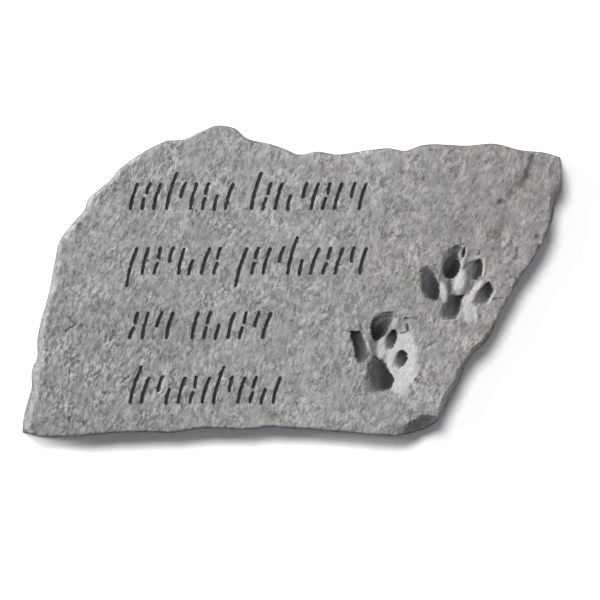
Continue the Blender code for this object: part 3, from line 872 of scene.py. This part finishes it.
def grain(x, y, sizes):
    """The grain of the face from about -1 to 1: leaning grains, small grains and broad patches."""
    lean = sizes.grain_lean
    patchy = roughness(x, y, sizes)
    x, y = strayed(x, y, GRAIN_STRAY, GRAIN_SEED + 11)
    along = x * math.cos(lean) + y * math.sin(lean)
    across = -x * math.sin(lean) + y * math.cos(lean)
    along, across = along / sizes.grain_length, across / sizes.grain_width
    leaning = granular(along, across, GRAIN_SEED)
    ridged = 0.5 - np.abs(granular(along / 1.9, across / 1.6, GRAIN_SEED + 1)) * 1.6
    coarse = granular(x / COARSE_GRAIN[0], y / COARSE_GRAIN[1], GRAIN_SEED + 2)
    return patchy * (0.62 * leaning + 0.36 * ridged) + 0.62 * coarse


def crease_lines(x, y, sizes):
    """Depth of the face's creases, each a rounded groove along a bent line, and their darkness:
    painted shade along a groove and painted light along a ridge.
    """
    depth = np.zeros(len(x))
    darkness = np.zeros(len(x))
    reach, spacing = CREASE_STRAY
    stray_x, stray_y = (
        way + reach * granular(x / spacing, y / spacing, GRAIN_SEED + number)
        for way, number in ((x, 6), (y, 7))
    )
    for line, half_width, groove, tone in CREASES:
        points = [on_face(sizes, place) for place in line]
        away = np.min(
            [away_from(stray_x, stray_y, *ends) for ends in zip(points[:-1], points[1:])], axis=0
        )
        round_off = np.exp(-((away / half_width) ** 2))
        depth += groove * round_off
        darkness += tone * round_off
    return depth, darkness


def chips_and_pits(x, y, sizes):
    """Depth of the chips and of small pits scattered at random, each a rounded hollow."""
    depth = np.zeros(len(x))
    for across, up, half_width, half_length, deep in CHIPS:
        middle = on_face(sizes, (across, up))
        share = ellipse_share(x, y, (*middle, half_width, half_length, 0.0))
        depth = np.maximum(depth, deep * np.clip(1.0 - share**2, 0.0, None))
    random = np.random.default_rng(PIT_SEED)
    x, y = strayed(x, y, PIT_STRAY, GRAIN_SEED + 14)
    for _ in range(PIT_COUNT):
        across, up, size, deep = random.uniform((-0.5, -0.5, 0.5, 0.2), (0.5, 0.5, 1.0, 1.0))
        middle = on_face(sizes, (across, up))
        deep *= roughness(*np.array(middle), sizes) ** 2
        radius = PIT_RADIUS * size**2
        near = np.flatnonzero((np.abs(x - middle[0]) < radius) & (np.abs(y - middle[1]) < radius))
        share = np.hypot(x[near] - middle[0], y[near] - middle[1]) / radius
        pit = sizes.pit_depth * deep * np.clip(1.0 - share**2, 0.0, None)
        depth[near] = np.maximum(depth[near], pit)
    return depth


def broad_shade(x, y, sizes):
    """How pale the face is from end to end, about 1: darker at its lower left, along the left of
    its lower edge and at its upper right tip, and paler along the top and low in the middle."""
    upper_right, lower_left = (corner(x, y, sizes, way) for way in (1.0, -1.0))
    across, up = x / sizes.length, y / sizes.width
    tip = eased((across - 0.42) / 0.05) * upper_right
    foot_edge = eased((-0.36 - up) / 0.10) * eased((-0.10 - across) / 0.10)
    high = eased((up - 0.25) / 0.15) * (1.0 - upper_right)
    low_middle = eased((across + 0.06) / 0.10) * eased((-0.12 - up) / 0.14)
    return (
        1.0 - 0.085 * upper_right - 0.06 * tip + 0.05 * low_middle - 0.05 * lower_left
        - 0.08 * foot_edge + 0.06 * high
    )


def face_relief(x, y, sizes):
    """Height of the face and the masks that its finish reads, as a dict of arrays."""
    chip_x, chip_y = on_face(sizes, CHIP_PLACE)
    reach, across, up = CHIP_STRAY
    ragged = reach * granular(x / across, y / up, GRAIN_SEED + 16)
    chip = np.clip(sizes.chip_radius - np.hypot(x - chip_x, y - chip_y) + ragged, 0.0, None)
    chip *= 0.35 + 0.65 * eased((x - chip_x + CHIP_LEFT_REACH[0]) / CHIP_LEFT_REACH[1])
    broad = sizes.broad_rise * (uneven(x, y, sizes.broad_spacing, UNEVEN_SEED) - 1.0) / 2
    small = sizes.small_rise * (uneven(x, y, sizes.small_spacing, UNEVEN_SEED + 1) - 1.0) / 2
    prints = [paw_relief(x, y, sizes, paw) for paw in PAWS]
    paws = {name: np.max([made[name] for made in prints], axis=0) for name in prints[0]}
    distance = stroke_distance(x, y, sizes)
    groove = np.clip(1.0 - distance / (0.55 * sizes.stroke_width), 0.0, None) ** 0.8
    grains = grain(x, y, sizes)
    broken = np.clip(chip / CHIP_BREAK, 0.0, 1.0)
    smooth = np.maximum(paws["smooth"], 0.9 * broken)
    crease, darkness = crease_lines(x, y, sizes)
    pits = chips_and_pits(x, y, sizes)
    deep = np.clip(pits / sizes.pit_depth - 1.0, 0.0, 1.0)
    rise = sizes.grain_rise * (grains - 1.0) * (1.0 - smooth)
    height = (
        sizes.thickness + broad + small - sizes.chip_fall * chip + rise - crease - pits
        - paws["depth"] - 0.5 * sizes.stroke_width * groove
    )
    spots = [
        eased(1.3 - np.hypot(x - across * sizes.length, y - up * sizes.width) / radius)
        for across, up, radius in OLIVE_SPOTS
    ]
    return {
        "height": np.minimum(height, STONE_HIGH[2]),
        "stroke": distance,
        "smooth": smooth,
        "pale": paws["pale"],
        "wash": paws["wash"],
        # Grain height less crease darkness and pit depth, which the shader turns into painted shade
        "grain": grains - 2.0 * darkness - 1.2 * pits / sizes.pit_depth,
        "rough": roughness(x, y, sizes),
        "olive": np.max(spots, axis=0),
        # Painted shade on the broken corner and in the deep chips, times the broad tone
        "shade": (1.0 - 0.30 * broken) * (1.0 - 0.32 * deep) * broad_shade(x, y, sizes),
    }


BLANK_MASKS = {
    "stroke": STROKE_REACH, "smooth": 0.0, "pale": 0.0, "wash": 0.0, "grain": 0.0, "rough": 1.0,
    "olive": 0.0, "shade": 1.0,
}


def wants_detail(x, y, sizes):
    """Which places lie near a stroke, a narrow crease or a paw print, where points are closer."""
    fine = stroke_distance(x, y, sizes) < sizes.stroke_width
    for paw in PAWS:
        middle = on_face(sizes, paw["place"])
        fine |= np.hypot(x - middle[0], y - middle[1]) < 0.53 * sizes.paw_length
    for line, half_width, *_ in CREASES:
        if half_width < sizes.cell:
            points = [on_face(sizes, place) for place in line]
            for ends in zip(points[:-1], points[1:]):
                fine |= away_from(x, y, *ends) < 3 * half_width
    return fine


def face_faces(used, fine, nodes):
    """The faces of the lattice: four quads for each fine cell, and one face for each coarse
    cell with those of its eight border points that a fine neighbour uses."""
    rows, columns = fine.shape
    row, column = np.nonzero(fine)
    quads = []
    for up, right in ((0, 0), (0, 1), (1, 0), (1, 1)):
        low, left = 2 * row + up, 2 * column + right
        corners = [(low, left), (low, left + 1), (low + 1, left + 1), (low + 1, left)]
        quads.append(np.stack([nodes[place] for place in corners], axis=1))
    quads = np.concatenate(quads)
    row, column = np.nonzero(~fine)
    ring = ((0, 0), (0, 1), (0, 2), (1, 2), (2, 2), (2, 1), (2, 0), (1, 0))
    places = [(2 * row + up, 2 * column + right) for up, right in ring]
    corners = np.stack([nodes[place] for place in places], axis=1)
    kept = np.stack([used[place] for place in places], axis=1)
    loops = np.concatenate([quads.ravel(), corners[kept]])
    counts = np.concatenate([np.full(len(quads), 4), kept.sum(axis=1)])
    return loops, counts


def border_places(shape):
    """The lattice's border points, anticlockwise from the lower left, as rows and columns."""
    top, right = shape[0] - 1, shape[1] - 1
    along, up = np.arange(right), np.arange(top)
    rows = np.concatenate([0 * along, up, np.full(right, top), top - up])
    columns = np.concatenate([along, np.full(top, right), right - along, 0 * up])
    return rows, columns


ARRIS_TURNS = (0.25, 0.5, 0.75, 1.0)
SIDE_TURNS = tuple(np.linspace(0.0, 1.0, 10)[1:])
FOOT_TURNS = (0.34, 0.67, 1.0)
UNDERSIDE_STEP = 8


def side_rings(u, v, top, sizes, ground):
    """Rings of points from the worn arris down the broken side to the underside.

    The profile at each border point is a quarter ellipse over the arris, a straight lean down
    to the foot pushed in by lumps and grain, and a quarter ellipse under the foot.
    """
    rim = broken_rim(sizes, ground)
    inner = patch(inset(rim, wears(sizes, rim)), u, v)
    arris, base = patch(rim, u, v), patch(ground, u, v)
    foot = patch(inset(ground, sizes.foot_wear), u, v)
    inwards = inner - arris
    wear = np.linalg.norm(inwards, axis=1)
    inwards /= wear[:, None]
    travelled = np.linalg.norm(np.diff(base, axis=0, append=base[:1]), axis=1)
    along = np.cumsum(travelled) - travelled
    for turn in ARRIS_TURNS:
        angle = turn * math.pi / 2
        drop = wear * (1 - math.cos(angle))
        yield inner + (arris - inner) * math.sin(angle), top - drop
    for turn in SIDE_TURNS:
        height = (top - wear) * (1 - turn) + sizes.foot_height * turn
        hold = math.sin(math.pi * turn) ** 0.5 if turn < 1 else 0.0
        lumps = uneven(along, height * 1.4, sizes.small_spacing * 0.7, UNEVEN_SEED + 2)
        grains = granular(along / SIDE_GRAIN[0], height / SIDE_GRAIN[1] + 8.0, GRAIN_SEED + 3)
        push = sizes.side_roughness * hold * (0.5 + 0.35 * lumps + 0.22 * grains)
        yield arris + (base - arris) * turn + inwards * push[:, None], height
    for turn in FOOT_TURNS:
        angle = turn * math.pi / 2
        height = np.full(len(u), sizes.foot_height * (1 - math.sin(angle)))
        yield base + (foot - base) * (1 - math.cos(angle)), height


def shade_of(border):
    """How pale the side is below each border point, by the direction that the side faces: painted
    light on the sides that face left or right.
    """
    along = np.roll(border, -3, axis=0) - np.roll(border, 3, axis=0)
    outwards = np.stack([along[:, 1], -along[:, 0]], axis=1)
    outwards = blend_round(outwards / np.linalg.norm(outwards, axis=1)[:, None], LEAN_BLEND)
    left, right = (np.clip(side * outwards[:, 0], 0.0, 1.0) ** 1.5 for side in (-1.0, 1.0))
    return 0.92 + 0.27 * left + 0.20 * right


def ring_faces(rings, count):
    """Quads between each ring of points and the next, all the way round."""
    upper, lower = rings[:-1], rings[1:]
    ahead = np.roll(np.arange(count), -1)
    quads = np.stack([upper, lower, lower[:, ahead], upper[:, ahead]], axis=2)
    return quads.reshape(-1), np.full(quads.shape[0] * count, 4)


def underside_faces(used, last_ring, lattice, shape):
    """Faces of the underside: cells of a coarse lattice, whose outer edges keep every point of
    the last ring."""
    step = UNDERSIDE_STEP
    nodes = np.full(shape, -1)
    nodes[::step, ::step] = lattice
    rows, columns = border_places(shape)
    kept = used[rows, columns]
    nodes[rows, columns] = -1
    nodes[rows[kept], columns[kept]] = last_ring
    down, left = np.meshgrid(
        np.arange(0, shape[0] - 1, step), np.arange(0, shape[1] - 1, step), indexing="ij"
    )
    ring_rows, ring_columns = border_places((step + 1, step + 1))
    ring_rows, ring_columns = ring_rows[::-1], ring_columns[::-1]
    ring = nodes[down.reshape(-1, 1) + ring_rows, left.reshape(-1, 1) + ring_columns]
    return ring[ring >= 0], (ring >= 0).sum(axis=1)


def used_points(fine):
    """Which lattice points are used: every other one, and all those of the fine cells."""
    rows, columns = fine.shape
    used = np.zeros((2 * rows + 1, 2 * columns + 1), bool)
    used[::2, ::2] = True
    for up in range(3):
        for right in range(3):
            used[up : up + 2 * rows : 2, right : right + 2 * columns : 2] |= fine
    return used


def underside_points(u, v, sizes, ground):
    """Points of the slightly uneven underside, and a mask of their places in its lattice."""
    low_u, low_v = (grid[::UNDERSIDE_STEP, ::UNDERSIDE_STEP] for grid in (u, v))
    inside = np.zeros(low_u.shape, bool)
    inside[1:-1, 1:-1] = True
    low = patch(inset(ground, sizes.foot_wear), low_u.ravel(), low_v.ravel())[inside.ravel()]
    rise = 1.0 + uneven(low[:, 0], low[:, 1], sizes.small_spacing, UNEVEN_SEED + 5)
    return np.column_stack([low, UNDERSIDE_RISE * rise]), inside


def stone_surface(sizes):
    """Points, faces and masks of the whole stone, as arrays."""
    ground = ground_sides(sizes)
    rim = broken_rim(sizes, ground)
    face = inset(rim, wears(sizes, rim))
    step = UNDERSIDE_STEP // 2
    columns = step * round(0.72 * sizes.length / sizes.cell / step)
    rows = step * round(1.04 * sizes.width / sizes.cell / step)
    v, u = np.meshgrid(
        np.linspace(0.0, 1.0, 2 * rows + 1), np.linspace(0.0, 1.0, 2 * columns + 1), indexing="ij"
    )
    places = patch(face, u.ravel(), v.ravel()).reshape(*u.shape, 2)
    middles = places[1::2, 1::2].reshape(-1, 2)
    fine = wants_detail(middles[:, 0], middles[:, 1], sizes).reshape(rows, columns)
    used = used_points(fine)
    nodes = np.full(u.shape, -1)
    nodes[used] = np.arange(used.sum())
    relief = face_relief(*places[used].T, sizes)
    points = [np.column_stack([places[used], relief.pop("height")])]
    masks = {name: [values] for name, values in relief.items()}
    loops, counts = face_faces(used, fine, nodes)

    border_rows, border_columns = border_places(u.shape)
    kept = used[border_rows, border_columns]
    border = nodes[border_rows[kept], border_columns[kept]]
    border_u, border_v = (grid[border_rows[kept], border_columns[kept]] for grid in (u, v))
    top = points[0][border, 2]
    # Painted light on the sides by the way they face, times the face's painted shade and tone at
    # the border
    side_shade = shade_of(points[0][border, :2])
    side_smooth = 0.5 * eased((side_shade - 0.98) / 0.18)
    side_smooth = np.maximum(side_smooth, masks["smooth"][0][border])
    side_shade = side_shade * masks["shade"][0][border]
    masks["shade"][0] = masks["shade"][0] * (1.0 - 0.055 * eased((0.034 - u[used]) / 0.016))
    numbers = [border]
    total = len(points[0])
    for ring, height in side_rings(border_u, border_v, top, sizes, ground):
        points.append(np.column_stack([ring, height]))
        numbers.append(total + np.arange(len(ring)))
        total += len(ring)
        for name, blank in BLANK_MASKS.items():
            masks[name].append(np.full(len(ring), blank))
        # Painted shade low on the side, towards the foot
        low = eased((FOOT_SHADE[0] - height) / FOOT_SHADE[1])
        masks["shade"][-1] = side_shade * (1.0 - 0.20 * low)
        masks["smooth"][-1] = side_smooth
        masks["grain"][-1] = grain(*(ring.T + 0.6 * height), sizes)
    side_loops, side_counts = ring_faces(np.array(numbers), len(border))

    low, inside = underside_points(u, v, sizes, ground)
    lattice = np.full(inside.shape, -1)
    lattice[inside] = total + np.arange(len(low))
    points.append(low)
    for name, blank in BLANK_MASKS.items():
        masks[name].append(np.full(len(low), blank))
    low_loops, low_counts = underside_faces(used, numbers[-1], lattice, u.shape)
    return (
        np.concatenate(points),
        np.concatenate([loops, side_loops, low_loops]),
        np.concatenate([counts, side_counts, low_counts]),
        {name: np.concatenate(values) for name, values in masks.items()},
    )


def mesh_from(name, points, loops, counts, masks):
    """A smooth-shaded mesh from arrays, with each mask as a point attribute."""
    mesh = bpy.data.meshes.new(name)
    mesh.vertices.add(len(points))
    mesh.vertices.foreach_set("co", points.astype(np.float32).ravel())
    mesh.loops.add(len(loops))
    mesh.loops.foreach_set("vertex_index", loops.astype(np.int32))
    mesh.polygons.add(len(counts))
    starts = np.concatenate([[0], np.cumsum(counts)[:-1]])
    mesh.polygons.foreach_set("loop_start", starts.astype(np.int32))
    mesh.update(calc_edges=True)
    mesh.shade_smooth()
    for mask, values in masks.items():
        layer = mesh.attributes.new(mask, "FLOAT", "POINT")
        layer.data.foreach_set("value", values.astype(np.float32))
    return mesh


def add_node(tree, kind, inputs=(), **settings):
    """A shader node with its settings, its plain inputs and its links made."""
    made = tree.nodes.new(kind)
    for name, value in settings.items():
        setattr(made, name, value)
    for socket, value in dict(inputs).items():
        if isinstance(value, bpy.types.NodeSocket):
            tree.links.new(value, made.inputs[socket])
        else:
            made.inputs[socket].default_value = value
    return made


def mixed(tree, factor, first, second, blend_type="MIX"):
    """The colour between two others at a factor."""
    inputs = {"Factor": factor, 6: first, 7: second}
    return add_node(
        tree, "ShaderNodeMix", inputs, data_type="RGBA", blend_type=blend_type
    ).outputs[2]


def ramped(tree, value, low, high, to_low=0.0, to_high=1.0):
    """A value eased from one range to another."""
    inputs = {
        "Value": value, "From Min": low, "From Max": high, "To Min": to_low, "To Max": to_high,
    }
    return add_node(
        tree, "ShaderNodeMapRange", inputs, interpolation_type="SMOOTHSTEP"
    ).outputs["Result"]


def opaque(colour):
    """A colour, or a grey given as one number, with full alpha."""
    return (colour, colour, colour, 1.0) if isinstance(colour, float) else (*colour, 1.0)


MOTTLE_INPUTS = {"Patches per metre": 100.0, "Detail": 3.0, "Low": 0.4, "High": 0.6}


def mottle_group():
    """Node group: cloudy patches as a mask, from noise of a given size between two levels."""
    group = bpy.data.node_groups.new("mottle", "ShaderNodeTree")
    face = group.interface
    face.new_socket("Vector", in_out="INPUT", socket_type="NodeSocketVector")
    for name, default in MOTTLE_INPUTS.items():
        socket = face.new_socket(name, in_out="INPUT", socket_type="NodeSocketFloat")
        socket.default_value = default
    face.new_socket("Mask", in_out="OUTPUT", socket_type="NodeSocketFloat")
    entry = group.nodes.new("NodeGroupInput")
    noise = add_node(group, "ShaderNodeTexNoise", {
        "Vector": entry.outputs["Vector"],
        "Scale": entry.outputs["Patches per metre"],
        "Detail": entry.outputs["Detail"],
        "Roughness": 0.5,
        "Distortion": 0.6,
    })
    mask = ramped(group, noise.outputs["Fac"], entry.outputs["Low"], entry.outputs["High"])
    leave = group.nodes.new("NodeGroupOutput")
    group.links.new(mask, leave.inputs["Mask"])
    return group


def stone_material(colours, grain_lean):
    """Granular cast stone, pale and smooth between the pads, partly as painted light, and dark in
    the pads and strokes.

    Two sizes of leaning grain give both the speckle and the bump, so that low grains are dark:
    painted shade in the bump's hollows, on top of random speckle. The colour also follows the
    grain's height, with painted shade in its hollows, creases and pits.
    """
    material = bpy.data.materials.new("cast_stone_finish")
    material.use_nodes = True
    tree = material.node_tree
    shader = tree.nodes["Principled BSDF"]
    mottle = mottle_group()
    place = tree.nodes.new("ShaderNodeTexCoord").outputs["Object"]
    lean = add_node(tree, "ShaderNodeMapping", {
        "Vector": place, "Rotation": (0.0, 0.0, grain_lean), "Scale": GRAIN_STRETCH,
    }, vector_type="TEXTURE").outputs["Vector"]

    def attribute(name):
        return add_node(tree, "ShaderNodeAttribute", attribute_name=name).outputs["Fac"]

    def patches(noise, vector=place):
        inputs = {"Vector": vector, **dict(zip(MOTTLE_INPUTS, NOISES[noise]))}
        return add_node(tree, "ShaderNodeGroup", inputs, node_tree=mottle).outputs["Mask"]

    def computed(first, operation, second):
        inputs = {0: first, 1: second}
        return add_node(tree, "ShaderNodeMath", inputs, operation=operation).outputs[0]

    def weighed(first, first_share, second, second_share):
        first = computed(first, "MULTIPLY", first_share)
        return computed(first, "ADD", computed(second, "MULTIPLY", second_share))

    def multiplied(colour, factor, low, high):
        tint = mixed(tree, factor, opaque(low), opaque(high))
        return mixed(tree, 1.0, colour, tint, "MULTIPLY")

    smooth, pale, wash = attribute("smooth"), attribute("pale"), attribute("wash")
    # Painted shade: darker where the grain, its creases and its pits are low
    grain_height_shade = ramped(tree, attribute("grain"), -0.85, 0.65)
    pitted = patches("pits")
    grains = weighed(patches("speckle", lean), 0.76, patches("sand", lean), 0.28)
    strength = ramped(tree, patches("strength"), 0.0, 1.0, 0.65, 1.15)
    strength = computed(strength, "MULTIPLY", attribute("rough"))
    grains = computed(computed(grains, "SUBTRACT", 0.5), "MULTIPLY", strength)
    grains = computed(0.5, "ADD", grains)
    tone = weighed(grain_height_shade, 0.36, grains, 0.64)
    stone = mixed(tree, tone, opaque(colours.dark), opaque(colours.light))
    # Painted shade: darker where the pits noise is low, which the bump also sinks
    stone = multiplied(stone, pitted, 0.74, 1.025)
    plain = mixed(tree, 0.5, opaque(colours.dark), opaque(colours.light))
    stone = mixed(tree, ramped(tree, smooth, 0.3, 1.0, 0.0, 0.8), stone, plain)
    split = add_node(tree, "ShaderNodeSeparateXYZ", {"Vector": place})
    drift = computed(patches("drift"), "MULTIPLY", 0.09)
    slanted = computed(split.outputs["X"], "ADD", computed(split.outputs["Y"], "MULTIPLY", 0.6))
    warmth = ramped(tree, computed(slanted, "ADD", drift), 0.02, 0.25)
    stone = multiplied(stone, warmth, colours.cool, colours.warm)
    stone = multiplied(stone, patches("cast"), colours.green_cast, colours.pink_cast)
    stone = multiplied(stone, ramped(tree, split.outputs["Y"], -0.11, 0.09), 0.95, 1.03)
    stone = multiplied(stone, patches("clouds"), 0.91, 1.06)
    stone = multiplied(stone, attribute("olive"), 1.0, colours.olive)
    # The shade mask: painted shade on the broken corner, in deep chips and low on the sides,
    # painted light on the sides by the way they face, and the face's broad tone
    stone = mixed(tree, 1.0, stone, attribute("shade"), "MULTIPLY")
    # Pale stone on the paw prints' lumps: bare stone and painted light
    bare_and_lit = multiplied(opaque(colours.bare_and_lit), grains, 0.95, 1.03)
    bare_and_lit = mixed(tree, pale, stone, bare_and_lit)
    hue = mixed(tree, patches("wash"), opaque(colours.wash_green), opaque(colours.wash_purple))
    deep = mixed(tree, 1.0, hue, opaque(0.235), "MULTIPLY")
    washed = mixed(tree, ramped(tree, wash, 0.04, 0.52), bare_and_lit, hue)
    washed = mixed(tree, ramped(tree, wash, 0.50, 1.00), washed, deep)
    washed = multiplied(washed, grains, 0.80, 1.20)
    stray = ramped(tree, grains, 0.0, 1.0, -PAINT_STRAY, PAINT_STRAY)
    painted = ramped(tree, computed(attribute("stroke"), "ADD", stray), *PAINT_REACH)
    colour = mixed(tree, painted, washed, opaque(colours.paint))
    tree.links.new(colour, shader.inputs["Base Color"])
    shader.inputs["Roughness"].default_value = 0.95
    shader.inputs["Specular IOR Level"].default_value = 0.25
    rough = ramped(tree, smooth, 0.0, 1.0, 1.0, 0.15)
    relief = computed(grains, "ADD", computed(pitted, "MULTIPLY", 0.7))
    relief = computed(relief, "MULTIPLY", rough)
    bump = add_node(tree, "ShaderNodeBump", {
        "Height": relief, "Distance": BUMP_DISTANCE, "Strength": 1.0,
    })
    tree.links.new(bump.outputs["Normal"], shader.inputs["Normal"])
    return material


def floor_material(colours):
    """A plain pale floor."""
    material = bpy.data.materials.new("studio_floor")
    material.use_nodes = True
    shader = material.node_tree.nodes["Principled BSDF"]
    shader.inputs["Base Color"].default_value = opaque(colours.floor)
    shader.inputs["Roughness"].default_value = 0.9
    shader.inputs["Specular IOR Level"].default_value = 0.0
    return material


class MEMORIAL_OT_stone(bpy.types.Operator):
    """Build the stone's surface and give it its finish."""

    bl_idname = "memorial.stone"
    bl_label = "Build the stone"

    def execute(self, context):
        scene = context.scene
        mesh = mesh_from("cast_stone", *stone_surface(scene.memorial_sizes))
        lean = scene.memorial_sizes.grain_lean
        mesh.materials.append(stone_material(scene.memorial_colours, lean))
        stone = bpy.data.objects.new("cast_stone", mesh)
        scene.collection.objects.link(stone)
        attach(stone, "root")
        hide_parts(STONE_NODE)
        return {"FINISHED"}


class MEMORIAL_OT_stage(bpy.types.Operator):
    """Build the floor, the lights and the camera."""

    bl_idname = "memorial.stage"
    bl_label = "Build the stage"

    def execute(self, context):
        scene = context.scene
        stage = scene.memorial_stage
        bpy.ops.mesh.primitive_plane_add(size=FLOOR_SIZE)
        floor = context.object
        floor.name = "studio_floor"
        floor.data.materials.append(floor_material(scene.memorial_colours))
        for name in ("top", "rake"):
            self.light(scene, stage, name)
        self.fill(scene, stage)
        self.camera(scene, stage)
        scene.view_settings.view_transform = "Standard"
        return {"FINISHED"}

    def light(self, scene, stage, name):
        """One broad light from the upper left, at its height and bearing."""
        strength, elevation, bearing, spread = (
            getattr(stage, f"{name}_{value}")
            for value in ("strength", "elevation", "bearing", "spread")
        )
        sun = bpy.data.lights.new(name, "SUN")
        sun.energy = strength
        sun.angle = spread
        lamp = bpy.data.objects.new(name, sun)
        lamp.rotation_euler = (0.0, math.pi / 2 - elevation, math.pi - bearing)
        scene.collection.objects.link(lamp)

    def fill(self, scene, stage):
        """An even light from all round, behind a white backdrop."""
        world = bpy.data.worlds.new("studio")
        world.use_nodes = True
        scene.world = world
        tree = world.node_tree
        seen = tree.nodes.new("ShaderNodeLightPath").outputs["Is Camera Ray"]
        strength = add_node(tree, "ShaderNodeMapRange", {
            "Value": seen, "To Min": stage.fill_strength, "To Max": 1.0,
        }).outputs["Result"]
        background = tree.nodes["Background"]
        colour = mixed(tree, seen, opaque(stage.fill_colour), (1.0, 1.0, 1.0, 1.0))
        tree.links.new(colour, background.inputs["Color"])
        tree.links.new(strength, background.inputs["Strength"])

    def camera(self, scene, stage):
        """A long lens straight above the stone."""
        lens = bpy.data.cameras.new("camera")
        lens.sensor_width = 36.0
        lens.lens = lens.sensor_width * stage.camera_distance / stage.frame_width
        lens.clip_end = 50.0
        camera = bpy.data.objects.new("camera", lens)
        middle = (np.array(STONE_LOW) + np.array(STONE_HIGH)) / 2
        camera.location = (
            middle[0] + stage.aim_across, middle[1] + stage.aim_up,
            scene.memorial_sizes.foot_height + stage.camera_distance,
        )
        scene.collection.objects.link(camera)
        scene.camera = camera


class MEMORIAL_PT_panel(bpy.types.Panel):
    """The memorial's sizes, colours and stage in the sidebar."""

    bl_idname = "MEMORIAL_PT_panel"
    bl_label = "Cat memorial stone"
    bl_space_type = "VIEW_3D"
    bl_region_type = "UI"
    bl_category = "Memorial"

    def draw(self, context):
        for title, name, operator in (
            ("Sizes", "memorial_sizes", None),
            ("Colours", "memorial_colours", MEMORIAL_OT_stone),
            ("Stage", "memorial_stage", MEMORIAL_OT_stage),
        ):
            group = getattr(context.scene, name)
            column = self.layout.column(heading=title)
            for field in group.__annotations__:
                column.prop(group, field)
            if operator:
                column.operator(operator.bl_idname)


CLASSES = (
    StoneSizes, StoneColours, StageSettings, MEMORIAL_OT_stone, MEMORIAL_OT_stage,
    MEMORIAL_PT_panel,
)
SETTINGS = {
    "memorial_sizes": StoneSizes,
    "memorial_colours": StoneColours,
    "memorial_stage": StageSettings,
}


def register():
    """Add the classes and their settings to Blender."""
    for kind in CLASSES:
        bpy.utils.register_class(kind)
    for name, kind in SETTINGS.items():
        setattr(bpy.types.Scene, name, bpy.props.PointerProperty(type=kind))


def unregister():
    """Take the settings and the classes out of Blender again."""
    for name in SETTINGS:
        delattr(bpy.types.Scene, name)
    for kind in reversed(CLASSES):
        bpy.utils.unregister_class(kind)


def main():
    """Register the add-on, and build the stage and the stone."""
    register()
    bpy.ops.memorial.stage()
    bpy.ops.memorial.stone()


if __name__ == "__main__":
    main()
